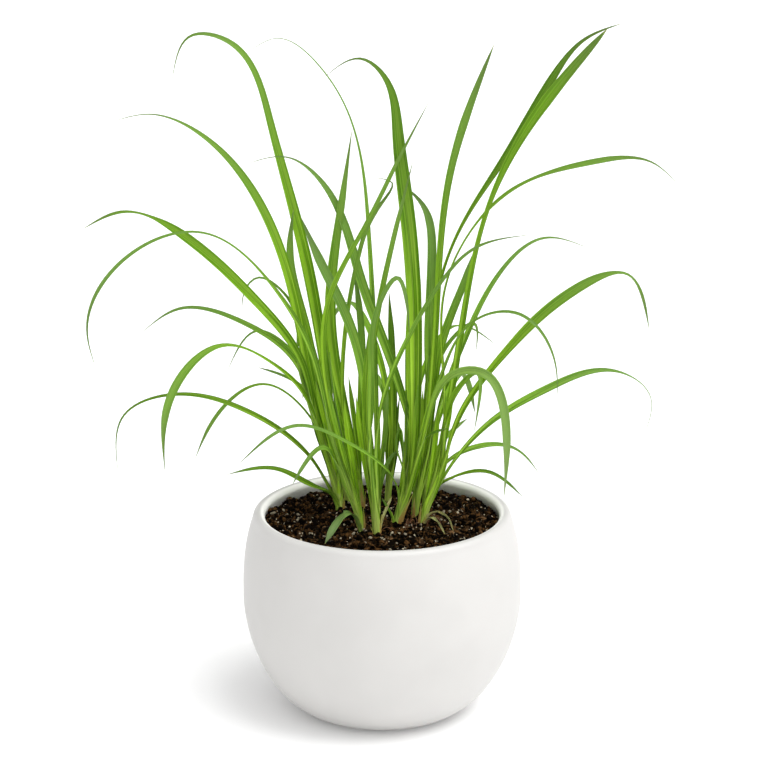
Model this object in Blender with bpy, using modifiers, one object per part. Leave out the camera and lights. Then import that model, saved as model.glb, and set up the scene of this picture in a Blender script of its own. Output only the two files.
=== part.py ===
"""Potted lemongrass: a round pot full of potting mix, with a clump of stalks and their leaves.

Metres, +Z up. The origin is the middle of the pot's foot, on the floor. +X is to the right of the
plant, -Y is its front. The tables of routes are in centimetres, and CM turns them into metres.
"""
from math import cos, pi, sin

import bmesh
import bpy
import numpy as np

COLLECTION = "potted_lemongrass"
CUTTERS = "socket_cutters"

CM = 0.01
MM = 0.001
GAP = 0.3 * MM                    # clearance between pieces that touch
MERGE = 0.00005

# Pot
POT_RADIUS = 0.100                # at its widest
POT_WIDEST_Z = 0.084
POT_HEIGHT = 0.147
POT_FOOT_RADIUS = 0.050
POT_WALL = 0.007
POT_FLOOR = 0.008
LIP_RADIUS = 0.0880               # of the lip's centre line
LIP_ROUND = POT_WALL / 2
BELLY_POWER = 2 / 1.75            # below the widest line: fuller than a circle
SHOULDER_POWER = 2.6              # above it: squarer than a circle
TURN_STEPS = 40
BELLY_STEPS = 8
SHOULDER_STEPS = 6
LIP_STEPS = 5

# Potting mix
SOIL_Z = 0.137
SOCKET_RADIUS = 0.0050
SOCKET_DEPTH = 0.022
SOCKET_SIDES = 12

# Stalks
BURIED = 0.018                    # length of a stalk's foot in the mix
FOOT_HALF = 0.0040                # half thickness at the soil
COLLAR_HALF = 0.0028              # half width where the stalk turns into its blade
COLLAR = 0.085                    # distance of that place from the soil
STALK_SIDES = 8
STALK_STATIONS = 21
UNDER_SOIL = 0.2                  # cm; the foot is straight up to this depth under the soil
OPENING = 4                       # the blade has opened flat by 1/4 of its length

# Blades
BLADE_HALF_THICK = 0.45 * MM
BLADE_BASE = 0.40                 # width at the start of a blade, as a part of its full width
BLADE_FULL_AT = 0.35              # where along the blade it reaches its full width
BLADE_STATIONS = 14
SEARCH_STATIONS = 200             # fine steps along a stalk, to find where a leaf leaves it
TIP_HALF = 0.25 * MM
TAPER_POWER = 2.2                 # how long a blade keeps its width before it tapers
TAPER_CURVE = 0.9                 # how straight its last taper is
TIP_THIN = 0.5                    # thickness at the tip, as a part of the full thickness
HUG = 0.9                         # cm of its stalk that a leaf lies along before it leaves it
HUG_EASE = 0.9 * MM               # how far it has come off the stalk by then

# Stalks: name, foot (x, y), full width of the blade in mm, turn of the blade in degrees at the
# foot and at the tip (90 shows the flat side to the front, 0 turns it up), route points above the
# soil in cm.
STALKS = [
    ("stalk_01", (-3.0, 2.6), 7.5, (90, 60),
     [(-3.5, 2.5, 16.8), (-5.0, 2.2, 22.9), (-6.2, 1.9, 29.6), (-8.8, 1.6, 37.1), (-12.5, 1.3, 41.5),
      (-16.0, 1.1, 42.9), (-18.5, 1.0, 42.4)]),
    ("stalk_02", (-2.4, 4.2), 8.5, (90, 60),
     [(-3.1, 4.3, 16.7), (-4.1, 4.7, 23.0), (-5.5, 5.3, 31.8), (-8.0, 6.1, 41.8), (-11.0, 6.6, 47.3),
      (-13.4, 6.8, 47.6), (-14.9, 7.0, 44.4)]),
    ("stalk_03", (-1.4, -2.0), 5.5, (90, 90),
     [(-2.2, -2.0, 17.3), (-3.5, -1.7, 22.6), (-3.7, -1.3, 30.2), (-1.2, -1.0, 35.4),
      (1.3, -0.7, 40.4), (3.2, -0.5, 44.0)]),
    ("stalk_04", (-0.4, -2.7), 4.5, (90, 90),
     [(-0.6, -2.6, 16.6), (-1.0, -2.4, 21.7), (-0.6, -2.3, 27.7), (0.7, -2.1, 34.4),
      (2.1, -2.0, 40.2)]),
    ("stalk_05", (1.0, -0.7), 10.0, (90, 60),
     [(1.6, -0.7, 16.0), (2.2, -0.6, 22.0), (2.2, -0.4, 29.0), (1.7, -0.3, 36.0), (1.0, -0.2, 42.0),
      (0.0, -0.1, 45.8), (-1.3, -0.1, 46.8), (-4.0, 0.0, 45.5)]),
    ("stalk_06", (2.8, -0.5), 8.5, (90, 90),
     [(3.4, -0.3, 15.8), (4.3, 0.2, 19.5), (5.4, 1.0, 26.2), (6.3, 1.7, 31.8), (7.5, 2.2, 36.4),
      (10.5, 3.0, 42.2), (15.6, 4.0, 48.4)]),
    ("stalk_07", (2.3, 0.7), 6.5, (90, 90),
     [(2.6, 0.8, 16.0), (3.3, 1.0, 21.1), (3.9, 1.5, 29.7), (4.8, 2.0, 38.8), (7.7, 2.5, 47.5)]),
    ("stalk_08", (3.1, 3.4), 7.5, (90, 90),
     [(3.3, 3.5, 17.0), (3.6, 3.9, 24.5), (4.1, 4.4, 30.0), (5.8, 4.8, 34.6), (8.6, 5.3, 39.0),
      (12.0, 5.8, 44.7), (14.1, 6.2, 47.3), (16.9, 6.5, 48.5)]),
    ("stalk_09", (0.4, 4.2), 6.0, (90, 90),
     [(0.7, 4.3, 17.4), (0.8, 4.6, 23.1), (0.5, 5.0, 29.5)]),
    ("stalk_10", (-1.5, 2.8), 7.0, (90, 90),
     [(-1.9, 2.8, 17.0), (-2.8, 2.8, 21.6), (-3.7, 3.2, 28.2), (-3.0, 3.6, 35.3), (-2.1, 4.0, 41.4)]),
    ("stalk_11", (-0.3, 1.6), 4.5, (90, 70),
     [(-0.4, 2.0, 19.0), (-0.6, 3.0, 27.0), (-1.0, 4.1, 34.5), (-2.1, 5.6, 41.5), (-4.5, 6.4, 45.6),
      (-7.4, 6.9, 47.4), (-9.6, 7.1, 46.3)]),
    ("stalk_12", (1.6, 5.0), 6.5, (90, 60),
     [(1.9, 5.6, 17.5), (2.0, 6.8, 23.5), (2.2, 9.0, 28.0), (2.6, 12.0, 29.0), (3.0, 14.5, 26.5)]),
]

# Leaves: name, stalk it leaves, height of that place in cm, full width in mm, turns of its flat
# side at the start, the middle and the tip, route points in cm.
LEAVES = [
    ("leaf_left_01", "stalk_01", 19.5, 8.5, (90, 80, 50),
     [(-5.6, 1.0, 25.0), (-8.8, -0.7, 30.2), (-13.5, -2.7, 35.2), (-17.5, -4.1, 37.1),
      (-20.0, -5.0, 36.1)]),
    ("leaf_left_02", "stalk_03", 20.0, 4.5, (90, 70, 80),
     [(-4.6, -2.4, 26.0), (-7.6, -3.8, 32.2), (-12.0, -5.1, 35.9), (-17.4, -6.4, 34.1),
      (-19.6, -7.4, 29.7), (-19.0, -8.0, 27.2)]),
    ("leaf_left_03", "stalk_01", 20.8, 6.5, (90, 70, 60),
     [(-6.0, 3.8, 24.2), (-10.0, 5.4, 27.1), (-14.7, 6.9, 27.8), (-17.7, 8.0, 25.7)]),
    ("leaf_left_04", "stalk_02", 21.3, 3.0, (90, 60, 60),
     [(-6.2, 5.4, 24.6), (-8.9, 6.6, 26.2), (-11.4, 8.0, 22.9)]),
    ("leaf_left_05", "stalk_01", 18.6, 9.0, (90, 70, 40),
     [(-5.6, 0.0, 23.4), (-8.0, -1.9, 26.3), (-11.0, -3.9, 27.8), (-14.2, -6.7, 25.0),
      (-14.4, -10.0, 20.5)]),
    ("leaf_left_06", "stalk_02", 20.3, 3.5, (90, 70, 60),
     [(-6.2, 5.0, 22.7), (-9.1, 6.0, 23.6)]),
    ("leaf_left_07", "stalk_01", 15.2, 5.0, (90, 70, 80),
     [(-5.6, 2.7, 18.2), (-9.9, 3.1, 21.2), (-14.6, 3.4, 22.3), (-18.7, 3.7, 20.6),
      (-19.3, 4.0, 16.3)]),
    ("leaf_left_08", "stalk_02", 17.0, 4.5, (90, 60, 60),
     [(-5.2, 4.6, 20.1), (-8.5, 6.0, 22.3), (-11.8, 7.3, 20.1), (-14.1, 9.0, 15.6)]),
    ("leaf_left_09", "stalk_03", 17.4, 3.5, (90, 60, 50),
     [(-4.0, -2.2, 20.0), (-6.2, -4.0, 17.9)]),
    ("leaf_left_10", "stalk_01", 14.8, 5.0, (90, 60, 20),
     [(-4.6, 0.5, 16.1), (-7.4, -2.1, 18.4), (-10.7, -5.0, 18.9)]),
    ("leaf_front_01", "stalk_05", 15.4, 4.0, (90, 70, 50),
     [(0.0, -3.4, 19.1), (-2.6, -4.4, 21.2), (-5.7, -5.2, 22.5), (-9.7, -7.0, 20.3)]),
    ("leaf_front_02", "stalk_05", 17.2, 9.0, (-60, 0, 60),
     [(3.3, -3.1, 22.4), (4.9, -4.4, 25.9), (6.8, -5.4, 26.3), (8.4, -7.4, 21.9), (8.2, -9.0, 18.6)]),
    ("leaf_front_03", "stalk_06", 18.4, 6.0, (90, 70, 90),
     [(5.0, -1.2, 23.4), (6.5, -1.8, 25.3), (6.4, -3.0, 21.4)]),
    ("leaf_front_04", "stalk_05", 19.0, 5.0, (90, 70, 60),
     [(4.2, -2.7, 25.6), (6.4, -4.2, 29.7), (9.2, -5.4, 30.4), (11.6, -7.0, 27.4),
      (11.7, -8.0, 25.2)]),
    ("leaf_front_05", "stalk_05", 18.2, 3.5, (90, 60, 50),
     [(3.1, -1.8, 20.6), (4.6, -2.2, 21.4)]),
    ("leaf_middle_01", "stalk_07", 17.3, 7.0, (90, 80, 60),
     [(1.5, 1.7, 22.3), (0.2, 2.3, 26.2), (-1.5, 3.0, 30.8), (-4.4, 4.2, 37.8), (-6.6, 4.6, 39.3),
      (-9.5, 5.0, 38.8)]),
    ("leaf_middle_02", "stalk_02", 20.2, 5.5, (90, 90, 90),
     [(-5.5, 4.5, 27.2), (-6.6, 4.7, 32.5), (-6.3, 5.0, 35.5)]),
    ("leaf_middle_03", "stalk_04", 19.0, 6.0, (90, 90, 90),
     [(-1.4, -0.9, 25.2), (-2.9, 1.0, 29.6), (-4.4, 2.0, 32.5), (-5.7, 2.8, 35.4)]),
    ("leaf_middle_04", "stalk_10", 17.0, 3.5, (90, 90, 90),
     [(-2.5, 1.6, 28.0), (-1.5, 1.6, 33.3), (-0.1, 1.5, 36.5), (0.7, 1.5, 38.1), (-0.4, 1.5, 38.4)]),
    ("leaf_middle_05", "stalk_07", 19.6, 6.5, (90, 90, 80),
     [(3.3, 2.1, 27.0), (3.5, 2.4, 33.0), (2.9, 2.7, 36.2), (1.4, 3.0, 37.7)]),
    ("leaf_middle_06", "stalk_04", 18.2, 5.5, (90, 80, 90),
     [(-0.7, -2.9, 26.5), (0.0, -3.0, 30.9), (1.0, -2.9, 32.3), (1.7, -2.5, 30.3), (1.9, -2.3, 28.1)]),
    ("leaf_middle_07", "stalk_10", 16.6, 5.5, (90, 90, 90),
     [(-1.5, 3.4, 22.5), (-1.5, 3.6, 27.0), (-2.0, 3.8, 31.5)]),
    ("leaf_middle_08", "stalk_11", 16.8, 4.5, (90, 90, 90),
     [(0.1, 0.6, 19.0), (0.3, 0.3, 24.6)]),
    ("leaf_middle_09", "stalk_05", 17.6, 2.5, (90, 90, 90),
     [(1.0, -1.9, 20.6), (1.2, -2.1, 21.3), (1.5, -2.2, 18.9)]),
    ("leaf_middle_10", "stalk_11", 14.8, 3.0, (90, 80, 70),
     [(0.2, -0.8, 17.9), (0.9, -1.3, 19.3), (1.3, -1.6, 19.6)]),
    ("leaf_right_01", "stalk_06", 20.6, 8.0, (90, 80, 50),
     [(4.3, -0.3, 30.5), (5.8, -1.0, 34.7), (8.9, -2.1, 38.3), (14.2, -3.5, 40.4), (18.0, -4.4, 40.5),
      (19.7, -5.0, 39.1)]),
    ("leaf_right_02", "stalk_04", 19.8, 4.0, (90, 80, 60),
     [(0.5, -2.6, 24.9), (2.1, -1.9, 28.4), (4.1, -1.8, 31.8), (6.3, -2.2, 34.2), (9.9, -3.0, 35.3)]),
    ("leaf_right_03", "stalk_08", 19.8, 5.5, (90, 70, 60),
     [(5.7, 3.3, 25.8), (8.2, 5.4, 30.4), (11.6, 7.4, 32.9), (15.0, 9.0, 31.9)]),
    ("leaf_right_04", "stalk_06", 17.2, 9.0, (90, 80, 70),
     [(5.4, -1.4, 21.9), (8.7, -2.0, 27.0), (13.0, -2.8, 31.3), (16.6, -3.4, 32.7),
      (18.2, -4.0, 28.9)]),
    ("leaf_right_05", "stalk_06", 16.3, 7.0, (90, 70, 80),
     [(7.5, 1.6, 20.5), (12.0, 3.0, 22.9), (16.7, 4.3, 23.8), (19.6, 5.3, 21.5),
      (19.4, 6.0, 18.7)]),
    ("leaf_right_06", "stalk_08", 15.6, 5.5, (90, 60, 60),
     [(5.5, 3.4, 17.7), (9.2, 5.4, 17.8), (11.7, 8.0, 14.9)]),
    ("leaf_right_07", "stalk_08", 14.8, 4.5, (90, 60, 50),
     [(4.9, 2.3, 16.2), (7.5, 1.7, 17.0), (10.1, 1.0, 15.3)]),
    ("leaf_right_08", "stalk_07", 16.4, 3.0, (90, 60, 50),
     [(4.6, 2.5, 19.3), (6.2, 4.0, 20.3)]),
    ("leaf_right_09", "stalk_07", 17.8, 3.0, (90, 70, 60),
     [(3.6, 2.6, 22.5), (5.0, 3.4, 26.4), (6.5, 4.0, 27.4), (6.8, 4.8, 25.1)]),
    ("leaf_right_10", "stalk_07", 18.8, 7.0, (90, 90, 90),
     [(3.9, 1.7, 25.0), (4.9, 2.3, 28.4), (5.9, 2.7, 30.9), (7.0, 3.0, 34.1)]),
    ("leaf_back_01", "stalk_09", 18.0, 5.5, (90, 60, 20),
     [(-0.6, 8.0, 25.0), (-2.4, 12.0, 27.0), (-4.2, 16.0, 24.0)]),
    ("leaf_back_02", "stalk_02", 16.0, 6.0, (90, 60, 20),
     [(-3.4, 8.0, 21.0), (-5.0, 12.0, 22.5), (-6.2, 15.5, 18.5)]),
    ("leaf_back_03", "stalk_08", 16.8, 6.0, (90, 60, 20),
     [(4.6, 7.5, 20.5), (6.0, 11.5, 21.5), (7.2, 15.0, 17.5)]),
    ("leaf_back_04", "stalk_12", 16.6, 5.0, (90, 60, 20),
     [(0.4, 7.6, 20.6), (-0.6, 10.6, 21.8), (-1.2, 13.6, 18.6)]),
    ("leaf_back_05", "stalk_12", 18.0, 5.0, (90, 60, 20),
     [(3.4, 8.2, 23.6), (5.4, 11.0, 25.4), (8.6, 13.6, 23.4)]),
]

# Short young blades that leave a stalk close to the mix, in the same form.
SHOOTS = [
    ("shoot_01", "stalk_03", 14.5, 5.5, (90, 40, 20),
     [(-2.4, -3.8, 15.7), (-3.9, -7.0, 14.6)]),
    ("shoot_02", "stalk_05", 14.3, 2.5, (90, 90, 90),
     [(0.4, -1.7, 15.3), (0.0, -2.0, 16.2)]),
]

DRY_LEAVES = [
    ("dry_leaf_01", "stalk_06", 14.1, 2.2, (60, 30, 20),
     [(3.7, -2.0, 14.7), (4.4, -4.0, 14.2)]),
    ("dry_leaf_02", "stalk_06", 14.6, 2.0, (60, 30, 20),
     [(4.3, -1.4, 14.9), (5.0, -3.2, 14.2)]),
    ("dry_leaf_03", "stalk_04", 14.3, 2.4, (90, 60, 60),
     [(0.3, -1.9, 15.3), (0.7, -1.6, 16.2)]),
]

COLOURS = {
    "ceramic": ((0.80, 0.79, 0.77, 1), 0.45),
    "mix": ((0.030, 0.018, 0.010, 1), 0.95),
    "stalk": ((0.30, 0.46, 0.07, 1), 0.45),
    "leaf": ((0.12, 0.33, 0.03, 1), 0.45),
    "dry": ((0.45, 0.30, 0.12, 1), 0.80),
}


def clear_scene():
    """Empty the scene of its objects."""
    for obj in list(bpy.data.objects):
        bpy.data.objects.remove(obj, do_unlink=True)


def new_collection(name):
    """A collection linked to the scene."""
    collection = bpy.data.collections.new(name)
    bpy.context.scene.collection.children.link(collection)
    return collection


def finish_material(name, colour, roughness):
    """A Principled material of one colour."""
    material = bpy.data.materials.new(name)
    material.use_nodes = True
    shader = material.node_tree.nodes["Principled BSDF"]
    shader.inputs["Base Color"].default_value = colour
    shader.inputs["Roughness"].default_value = roughness
    shader.inputs["Metallic"].default_value = 0.0
    return material


def mesh_object(name, mesh, collection, finish):
    """An object for the mesh, with its own material."""
    obj = bpy.data.objects.new(name, mesh)
    collection.objects.link(obj)
    mesh.materials.append(finish_material(name + "_finish", *COLOURS[finish]))
    return obj


def smooth_route(points, count):
    """Even samples of the natural cubic spline through the points."""
    points = np.array(points, dtype=float)
    steps = np.linalg.norm(np.diff(points, axis=0), axis=1)
    knots = np.concatenate([[0.0], np.cumsum(steps)])
    size = len(points)
    system = np.eye(size)
    bend = np.zeros((size, 3))
    for i in range(1, size - 1):
        before = knots[i] - knots[i - 1]
        after = knots[i + 1] - knots[i]
        system[i, i - 1:i + 2] = (before, 2 * (before + after), after)
        bend[i] = 6 * ((points[i + 1] - points[i]) / after - (points[i] - points[i - 1]) / before)
    second = np.linalg.solve(system, bend)
    samples = np.linspace(0, knots[-1], count)
    spans = np.clip(np.searchsorted(knots, samples, side="right") - 1, 0, size - 2)
    width = (knots[spans + 1] - knots[spans])[:, None]
    right = (samples - knots[spans])[:, None] / width
    left = 1 - right
    chord = left * points[spans] + right * points[spans + 1]
    sag = (left ** 3 - left) * second[spans] + (right ** 3 - right) * second[spans + 1]
    return chord + sag * width ** 2 / 6


def unit(vector):
    """The vector at length 1."""
    return vector / np.linalg.norm(vector)


def frames(route, turns):
    """The across and out directions of a blade at each station of its route."""
    along = np.gradient(route, axis=0)
    places = np.linspace(0, 1, len(route))
    angles = np.radians(np.interp(places, np.linspace(0, 1, len(turns)), turns))
    across = []
    for direction, angle in zip(along, angles):
        facing = np.array((0.0, -sin(angle), cos(angle)))
        across.append(unit(np.cross(direction, facing)))
    out = [unit(np.cross(side, direction)) for side, direction in zip(across, along)]
    return np.array(across), np.array(out)


def smooth_step(value):
    """A soft ramp from 0 to 1."""
    value = np.clip(value, 0, 1)
    return value * value * (3 - 2 * value)


def blade_half(places, full_width):
    """Half width of a blade at places from 0, its start, to 1, its tip."""
    ramp = BLADE_BASE + (1 - BLADE_BASE) * smooth_step(places / BLADE_FULL_AT)
    taper = np.clip(1 - places ** TAPER_POWER, 0, 1) ** TAPER_CURVE
    return np.maximum(full_width / 2 * ramp * taper, TIP_HALF)


def loft(name, rings):
    """A closed mesh through rings of points, with a cap at each end."""
    form = bmesh.new()
    rows = [[form.verts.new(point) for point in ring] for ring in rings]
    for lower, upper in zip(rows, rows[1:]):
        for i in range(len(lower)):
            j = (i + 1) % len(lower)
            form.faces.new((lower[i], lower[j], upper[j], upper[i]))
    form.faces.new(rows[0][::-1])
    form.faces.new(rows[-1])
    bmesh.ops.recalc_face_normals(form, faces=form.faces)
    mesh = bpy.data.meshes.new(name)
    form.to_mesh(mesh)
    form.free()
    mesh.shade_smooth()
    return mesh


def stalk_route(foot, points, count):
    """A stalk's middle line, from its buried end to the tip of its blade."""
    soil = SOIL_Z / CM
    start = [(*foot, soil - BURIED / CM), (*foot, soil - UNDER_SOIL)]
    return smooth_route(start + points, count) * CM


def make_stalk(name, foot, full_width, turns, points, collection):
    """A stalk whose round foot flattens into its innermost blade."""
    route = stalk_route(foot, points, STALK_STATIONS)
    across, out = frames(route, turns)
    steps = np.linalg.norm(np.diff(route, axis=0), axis=1)
    distance = np.concatenate([[0.0], np.cumsum(steps)]) - BURIED
    blade = np.clip((distance - COLLAR) / (distance[-1] - COLLAR), 0, 1)
    stem = smooth_step(distance / COLLAR)
    opening = smooth_step(blade * OPENING)
    stem_half = FOOT_HALF + (COLLAR_HALF - FOOT_HALF) * stem
    half_width = stem_half + (blade_half(blade, full_width * MM) - stem_half) * opening
    half_thick = stem_half + (BLADE_HALF_THICK - stem_half) * opening
    half_thick = half_thick * (1 - TIP_THIN * blade)
    rings = []
    for place, side, face, wide, thick in zip(route, across, out, half_width, half_thick):
        ring = []
        for i in range(STALK_SIDES):
            angle = 2 * pi * i / STALK_SIDES
            ring.append(place + side * wide * cos(angle) + face * thick * sin(angle))
        rings.append(ring)
    return mesh_object(name, loft(name, rings), collection, "stalk")


def leaf_route(stalk, height, points, count):
    """A leaf's middle line: it lies along its stalk for a short way, then leaves it."""
    foot, stalk_points = stalk
    middle = stalk_route(foot, stalk_points, SEARCH_STATIONS)
    starts = []
    for rise, ease in ((0.0, 0.0), (HUG, HUG_EASE)):
        place = middle[np.argmin(np.abs(middle[:, 2] - (height + rise) * CM))]
        heading = np.array(points[0]) * CM - place
        heading[2] = 0.0
        depth = (place[2] - SOIL_Z) / COLLAR
        stem_half = FOOT_HALF + (COLLAR_HALF - FOOT_HALF) * smooth_step(depth)
        reach = stem_half + BLADE_HALF_THICK + 2 * GAP + ease
        starts.append((place + unit(heading) * reach) / CM)
    return smooth_route(starts + points, count) * CM


def make_leaf(name, stalk, height, full_width, turns, points, collection, finish):
    """A blade with sharp edges and a tapered tip."""
    route = leaf_route(stalk, height, points, BLADE_STATIONS)
    across, out = frames(route, turns)
    places = np.linspace(0, 1, BLADE_STATIONS)
    half_width = blade_half(places, full_width * MM)
    rings = []
    for place, side, face, wide, at in zip(route, across, out, half_width, places):
        thick = BLADE_HALF_THICK * (1 - TIP_THIN * at)
        rings.append((place + side * wide, place + face * thick,
                      place - side * wide, place - face * thick))
    return mesh_object(name, loft(name, rings), collection, finish)


def pot_side(foot_radius, low_z, radius, widest_z, lip_radius, lip_z):
    """The line of a pot wall from its foot up to its lip, as (radius, z) points."""
    line = []
    for i in range(BELLY_STEPS + 1):
        angle = pi / 2 * i / BELLY_STEPS
        line.append((foot_radius + (radius - foot_radius) * sin(angle) ** BELLY_POWER,
                     low_z + (widest_z - low_z) * (1 - cos(angle) ** BELLY_POWER)))
    span = (1 - (lip_radius / radius) ** SHOULDER_POWER) ** (1 / SHOULDER_POWER)
    for i in range(1, SHOULDER_STEPS + 1):
        rise = i / SHOULDER_STEPS
        line.append((radius * (1 - (rise * span) ** SHOULDER_POWER) ** (1 / SHOULDER_POWER),
                     widest_z + (lip_z - widest_z) * rise))
    return line


def outer_line():
    """The outside of the pot, from its foot up to its lip."""
    return pot_side(POT_FOOT_RADIUS, 0.0, POT_RADIUS, POT_WIDEST_Z, LIP_RADIUS + LIP_ROUND,
                    POT_HEIGHT - LIP_ROUND)


def inner_line(clear=0.0):
    """The inside of the pot, or a line that stays clear of it."""
    return pot_side(POT_FOOT_RADIUS - POT_WALL / 2 - clear, POT_FLOOR + clear,
                    POT_RADIUS - POT_WALL - clear, POT_WIDEST_Z,
                    LIP_RADIUS - LIP_ROUND - clear, POT_HEIGHT - LIP_ROUND)


def turned(name, profile, collection, finish):
    """A turned solid of a profile that runs from the axis out and back to the axis."""
    mesh = bpy.data.meshes.new(name)
    edges = [(i, i + 1) for i in range(len(profile) - 1)]
    mesh.from_pydata([(radius, 0.0, z) for radius, z in profile], edges, [])
    obj = mesh_object(name, mesh, collection, finish)
    screw = obj.modifiers.new("turn", "SCREW")
    screw.steps = TURN_STEPS
    screw.render_steps = TURN_STEPS
    screw.use_merge_vertices = True
    screw.merge_threshold = MERGE
    screw.use_smooth_shade = True
    return obj


def make_pot(collection):
    """The pot: inner floor, inner wall, rolled lip, outer wall and flat foot."""
    lip = []
    for i in range(1, LIP_STEPS):
        angle = pi - pi * i / LIP_STEPS
        lip.append((LIP_RADIUS + LIP_ROUND * cos(angle),
                    POT_HEIGHT - LIP_ROUND + LIP_ROUND * sin(angle)))
    profile = [(0.0, POT_FLOOR)] + inner_line() + lip + outer_line()[::-1] + [(0.0, 0.0)]
    return turned("pot", profile, collection, "ceramic")


def make_sockets(collection):
    """One cutter for each stalk's socket in the mix."""
    for name, foot, *_ in STALKS:
        form = bmesh.new()
        bmesh.ops.create_cone(form, cap_ends=True, segments=SOCKET_SIDES, radius1=SOCKET_RADIUS,
                              radius2=SOCKET_RADIUS, depth=2 * SOCKET_DEPTH)
        mesh = bpy.data.meshes.new(name + "_socket")
        form.to_mesh(mesh)
        form.free()
        cutter = bpy.data.objects.new(name + "_socket", mesh)
        cutter.location = (foot[0] * CM, foot[1] * CM, SOIL_Z)
        cutter.hide_render = True
        cutter.display_type = "WIRE"
        collection.objects.link(cutter)


def make_soil(collection, cutters):
    """The potting mix, flat on top, with a socket for each stalk."""
    wall = inner_line(GAP)
    below = [point for point in wall if point[1] < SOIL_Z - MM]
    edge = np.interp(SOIL_Z, [z for _, z in wall], [radius for radius, _ in wall])
    profile = [(0.0, SOIL_Z), (edge, SOIL_Z)] + below[::-1] + [(0.0, POT_FLOOR + GAP)]
    soil = turned("soil", profile, collection, "mix")
    cut = soil.modifiers.new("sockets", "BOOLEAN")
    cut.operation = "DIFFERENCE"
    cut.solver = "EXACT"
    cut.operand_type = "COLLECTION"
    cut.collection = cutters
    return soil


def main():
    """Build every piece of the potted plant."""
    clear_scene()
    parts = new_collection(COLLECTION)
    cutters = new_collection(CUTTERS)
    make_sockets(cutters)
    make_pot(parts)
    make_soil(parts, cutters)
    for name, foot, width, turns, points in STALKS:
        make_stalk(name, foot, width, turns, points, parts)
    routes = {name: (foot, points) for name, foot, _, _, points in STALKS}
    for row in LEAVES + SHOOTS:
        name, stalk, height, width, turns, points = row
        make_leaf(name, routes[stalk], height, width, turns, points, parts, "leaf")
    for name, stalk, height, width, turns, points in DRY_LEAVES:
        make_leaf(name, routes[stalk], height, width, turns, points, parts, "dry")


main()
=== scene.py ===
"""Potted lemongrass: the looks of its pot, its potting mix and its clump of stalks and leaves.

Metres, +Z up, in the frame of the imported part. The tables of routes are in centimetres, and CM turns
them into metres. -Y is the front of the plant, +X its right.
"""

from math import cos, pi, radians, sin

import bmesh
import bpy
import numpy as np
from bpy.props import (FloatProperty, FloatVectorProperty, IntProperty,
                       PointerProperty)
from mathutils import Matrix, Vector


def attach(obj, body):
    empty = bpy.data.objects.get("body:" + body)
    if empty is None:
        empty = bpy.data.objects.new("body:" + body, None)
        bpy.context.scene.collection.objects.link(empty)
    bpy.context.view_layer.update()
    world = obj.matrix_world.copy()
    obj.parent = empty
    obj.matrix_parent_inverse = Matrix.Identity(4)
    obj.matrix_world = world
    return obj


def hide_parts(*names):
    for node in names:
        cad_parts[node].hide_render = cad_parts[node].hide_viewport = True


bl_info = {
    "name": "Potted Lemongrass",
    "version": (1, 0, 0),
    "blender": (4, 5, 0),
    "location": "View3D > Sidebar > Lemongrass",
    "description": "Models the finish of a potted lemongrass plant around its packed solids",
    "category": "Add Mesh",
}

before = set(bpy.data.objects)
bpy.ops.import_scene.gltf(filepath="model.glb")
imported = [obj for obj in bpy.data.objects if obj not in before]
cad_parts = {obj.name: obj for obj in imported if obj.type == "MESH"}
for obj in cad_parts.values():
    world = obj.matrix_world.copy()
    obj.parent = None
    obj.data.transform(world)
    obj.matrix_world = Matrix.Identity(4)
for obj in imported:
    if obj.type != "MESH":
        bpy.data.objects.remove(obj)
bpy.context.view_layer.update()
BODY = "root"
BAKE_MAP = "OFBake"               # the map that the finishes are laid out on

CM = 0.01
MM = 0.001

# Pot, as in the solid part but with a fuller lip
POT_RADIUS = 0.100
POT_WIDEST_Z = 0.084
POT_HEIGHT = 0.147
POT_FOOT_RADIUS = 0.050
POT_WALL = 0.007
POT_FLOOR = 0.008
LIP_RADIUS = 0.0880
LIP_ROUND = 4.3 * MM
BELLY_POWER = 2 / 1.75
SHOULDER_POWER = 2.6
FOOT_ROUND = 1.6 * MM
BELLY_STEPS = 36
SHOULDER_STEPS = 24
LIP_STEPS = 14
FOOT_STEPS = 4
LIT_INSIDE_Z = (0.10, 0.12)           # heights between which the inner wall takes the brighter inside colour, painted light on the wall under the rim
BARE_Z = (0.2 * MM, 0.7 * MM)     # heights between which the bare foot ends

# Potting mix
SOIL_Z = 0.137
BED_RADIUS = 0.0862
BED_RINGS = 90
BED_SPOKES = 300
BED_MOUND = 1.2 * MM              # how much higher the bed is in its middle
BED_EDGE = 0.9                    # part of its radius where it begins to fall towards the pot
BED_FALL = 1.5 * MM
BED_GRIT = 0.35 * MM              # unevenness of its single points
BED_DEPTH = 12 * MM
WAVE_LENGTHS = (28 * MM, 13 * MM, 6 * MM, 3 * MM)
WAVES_EACH = 5                    # how many waves of each length, in headings of their own
LUMP_DENTS = 3
SMALL_POWER = 2.2                 # above 1, small bits come more often than large ones

# Stalks
BURIED = 0.018                    # how deep a stalk stands in the mix
UNDER_SOIL = 0.002                # a stalk rises upright until this far under the mix's top
MIDDLE_STEP = 2 * MM              # distance between the stations of a stalk's middle line
SWELL = 1.16                      # how much wider a stalk is a little above its foot
SWELL_LENGTH = 22 * MM
OPENS_FROM = 6 * MM               # height at which a stalk's innermost leaf begins to open
OPENS_OVER = 55 * MM
ROLLED = radians(200)             # its turn from its middle to an edge while it is rolled up
CORE_LEAST = 1.0 * MM             # least radius of that roll

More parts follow.
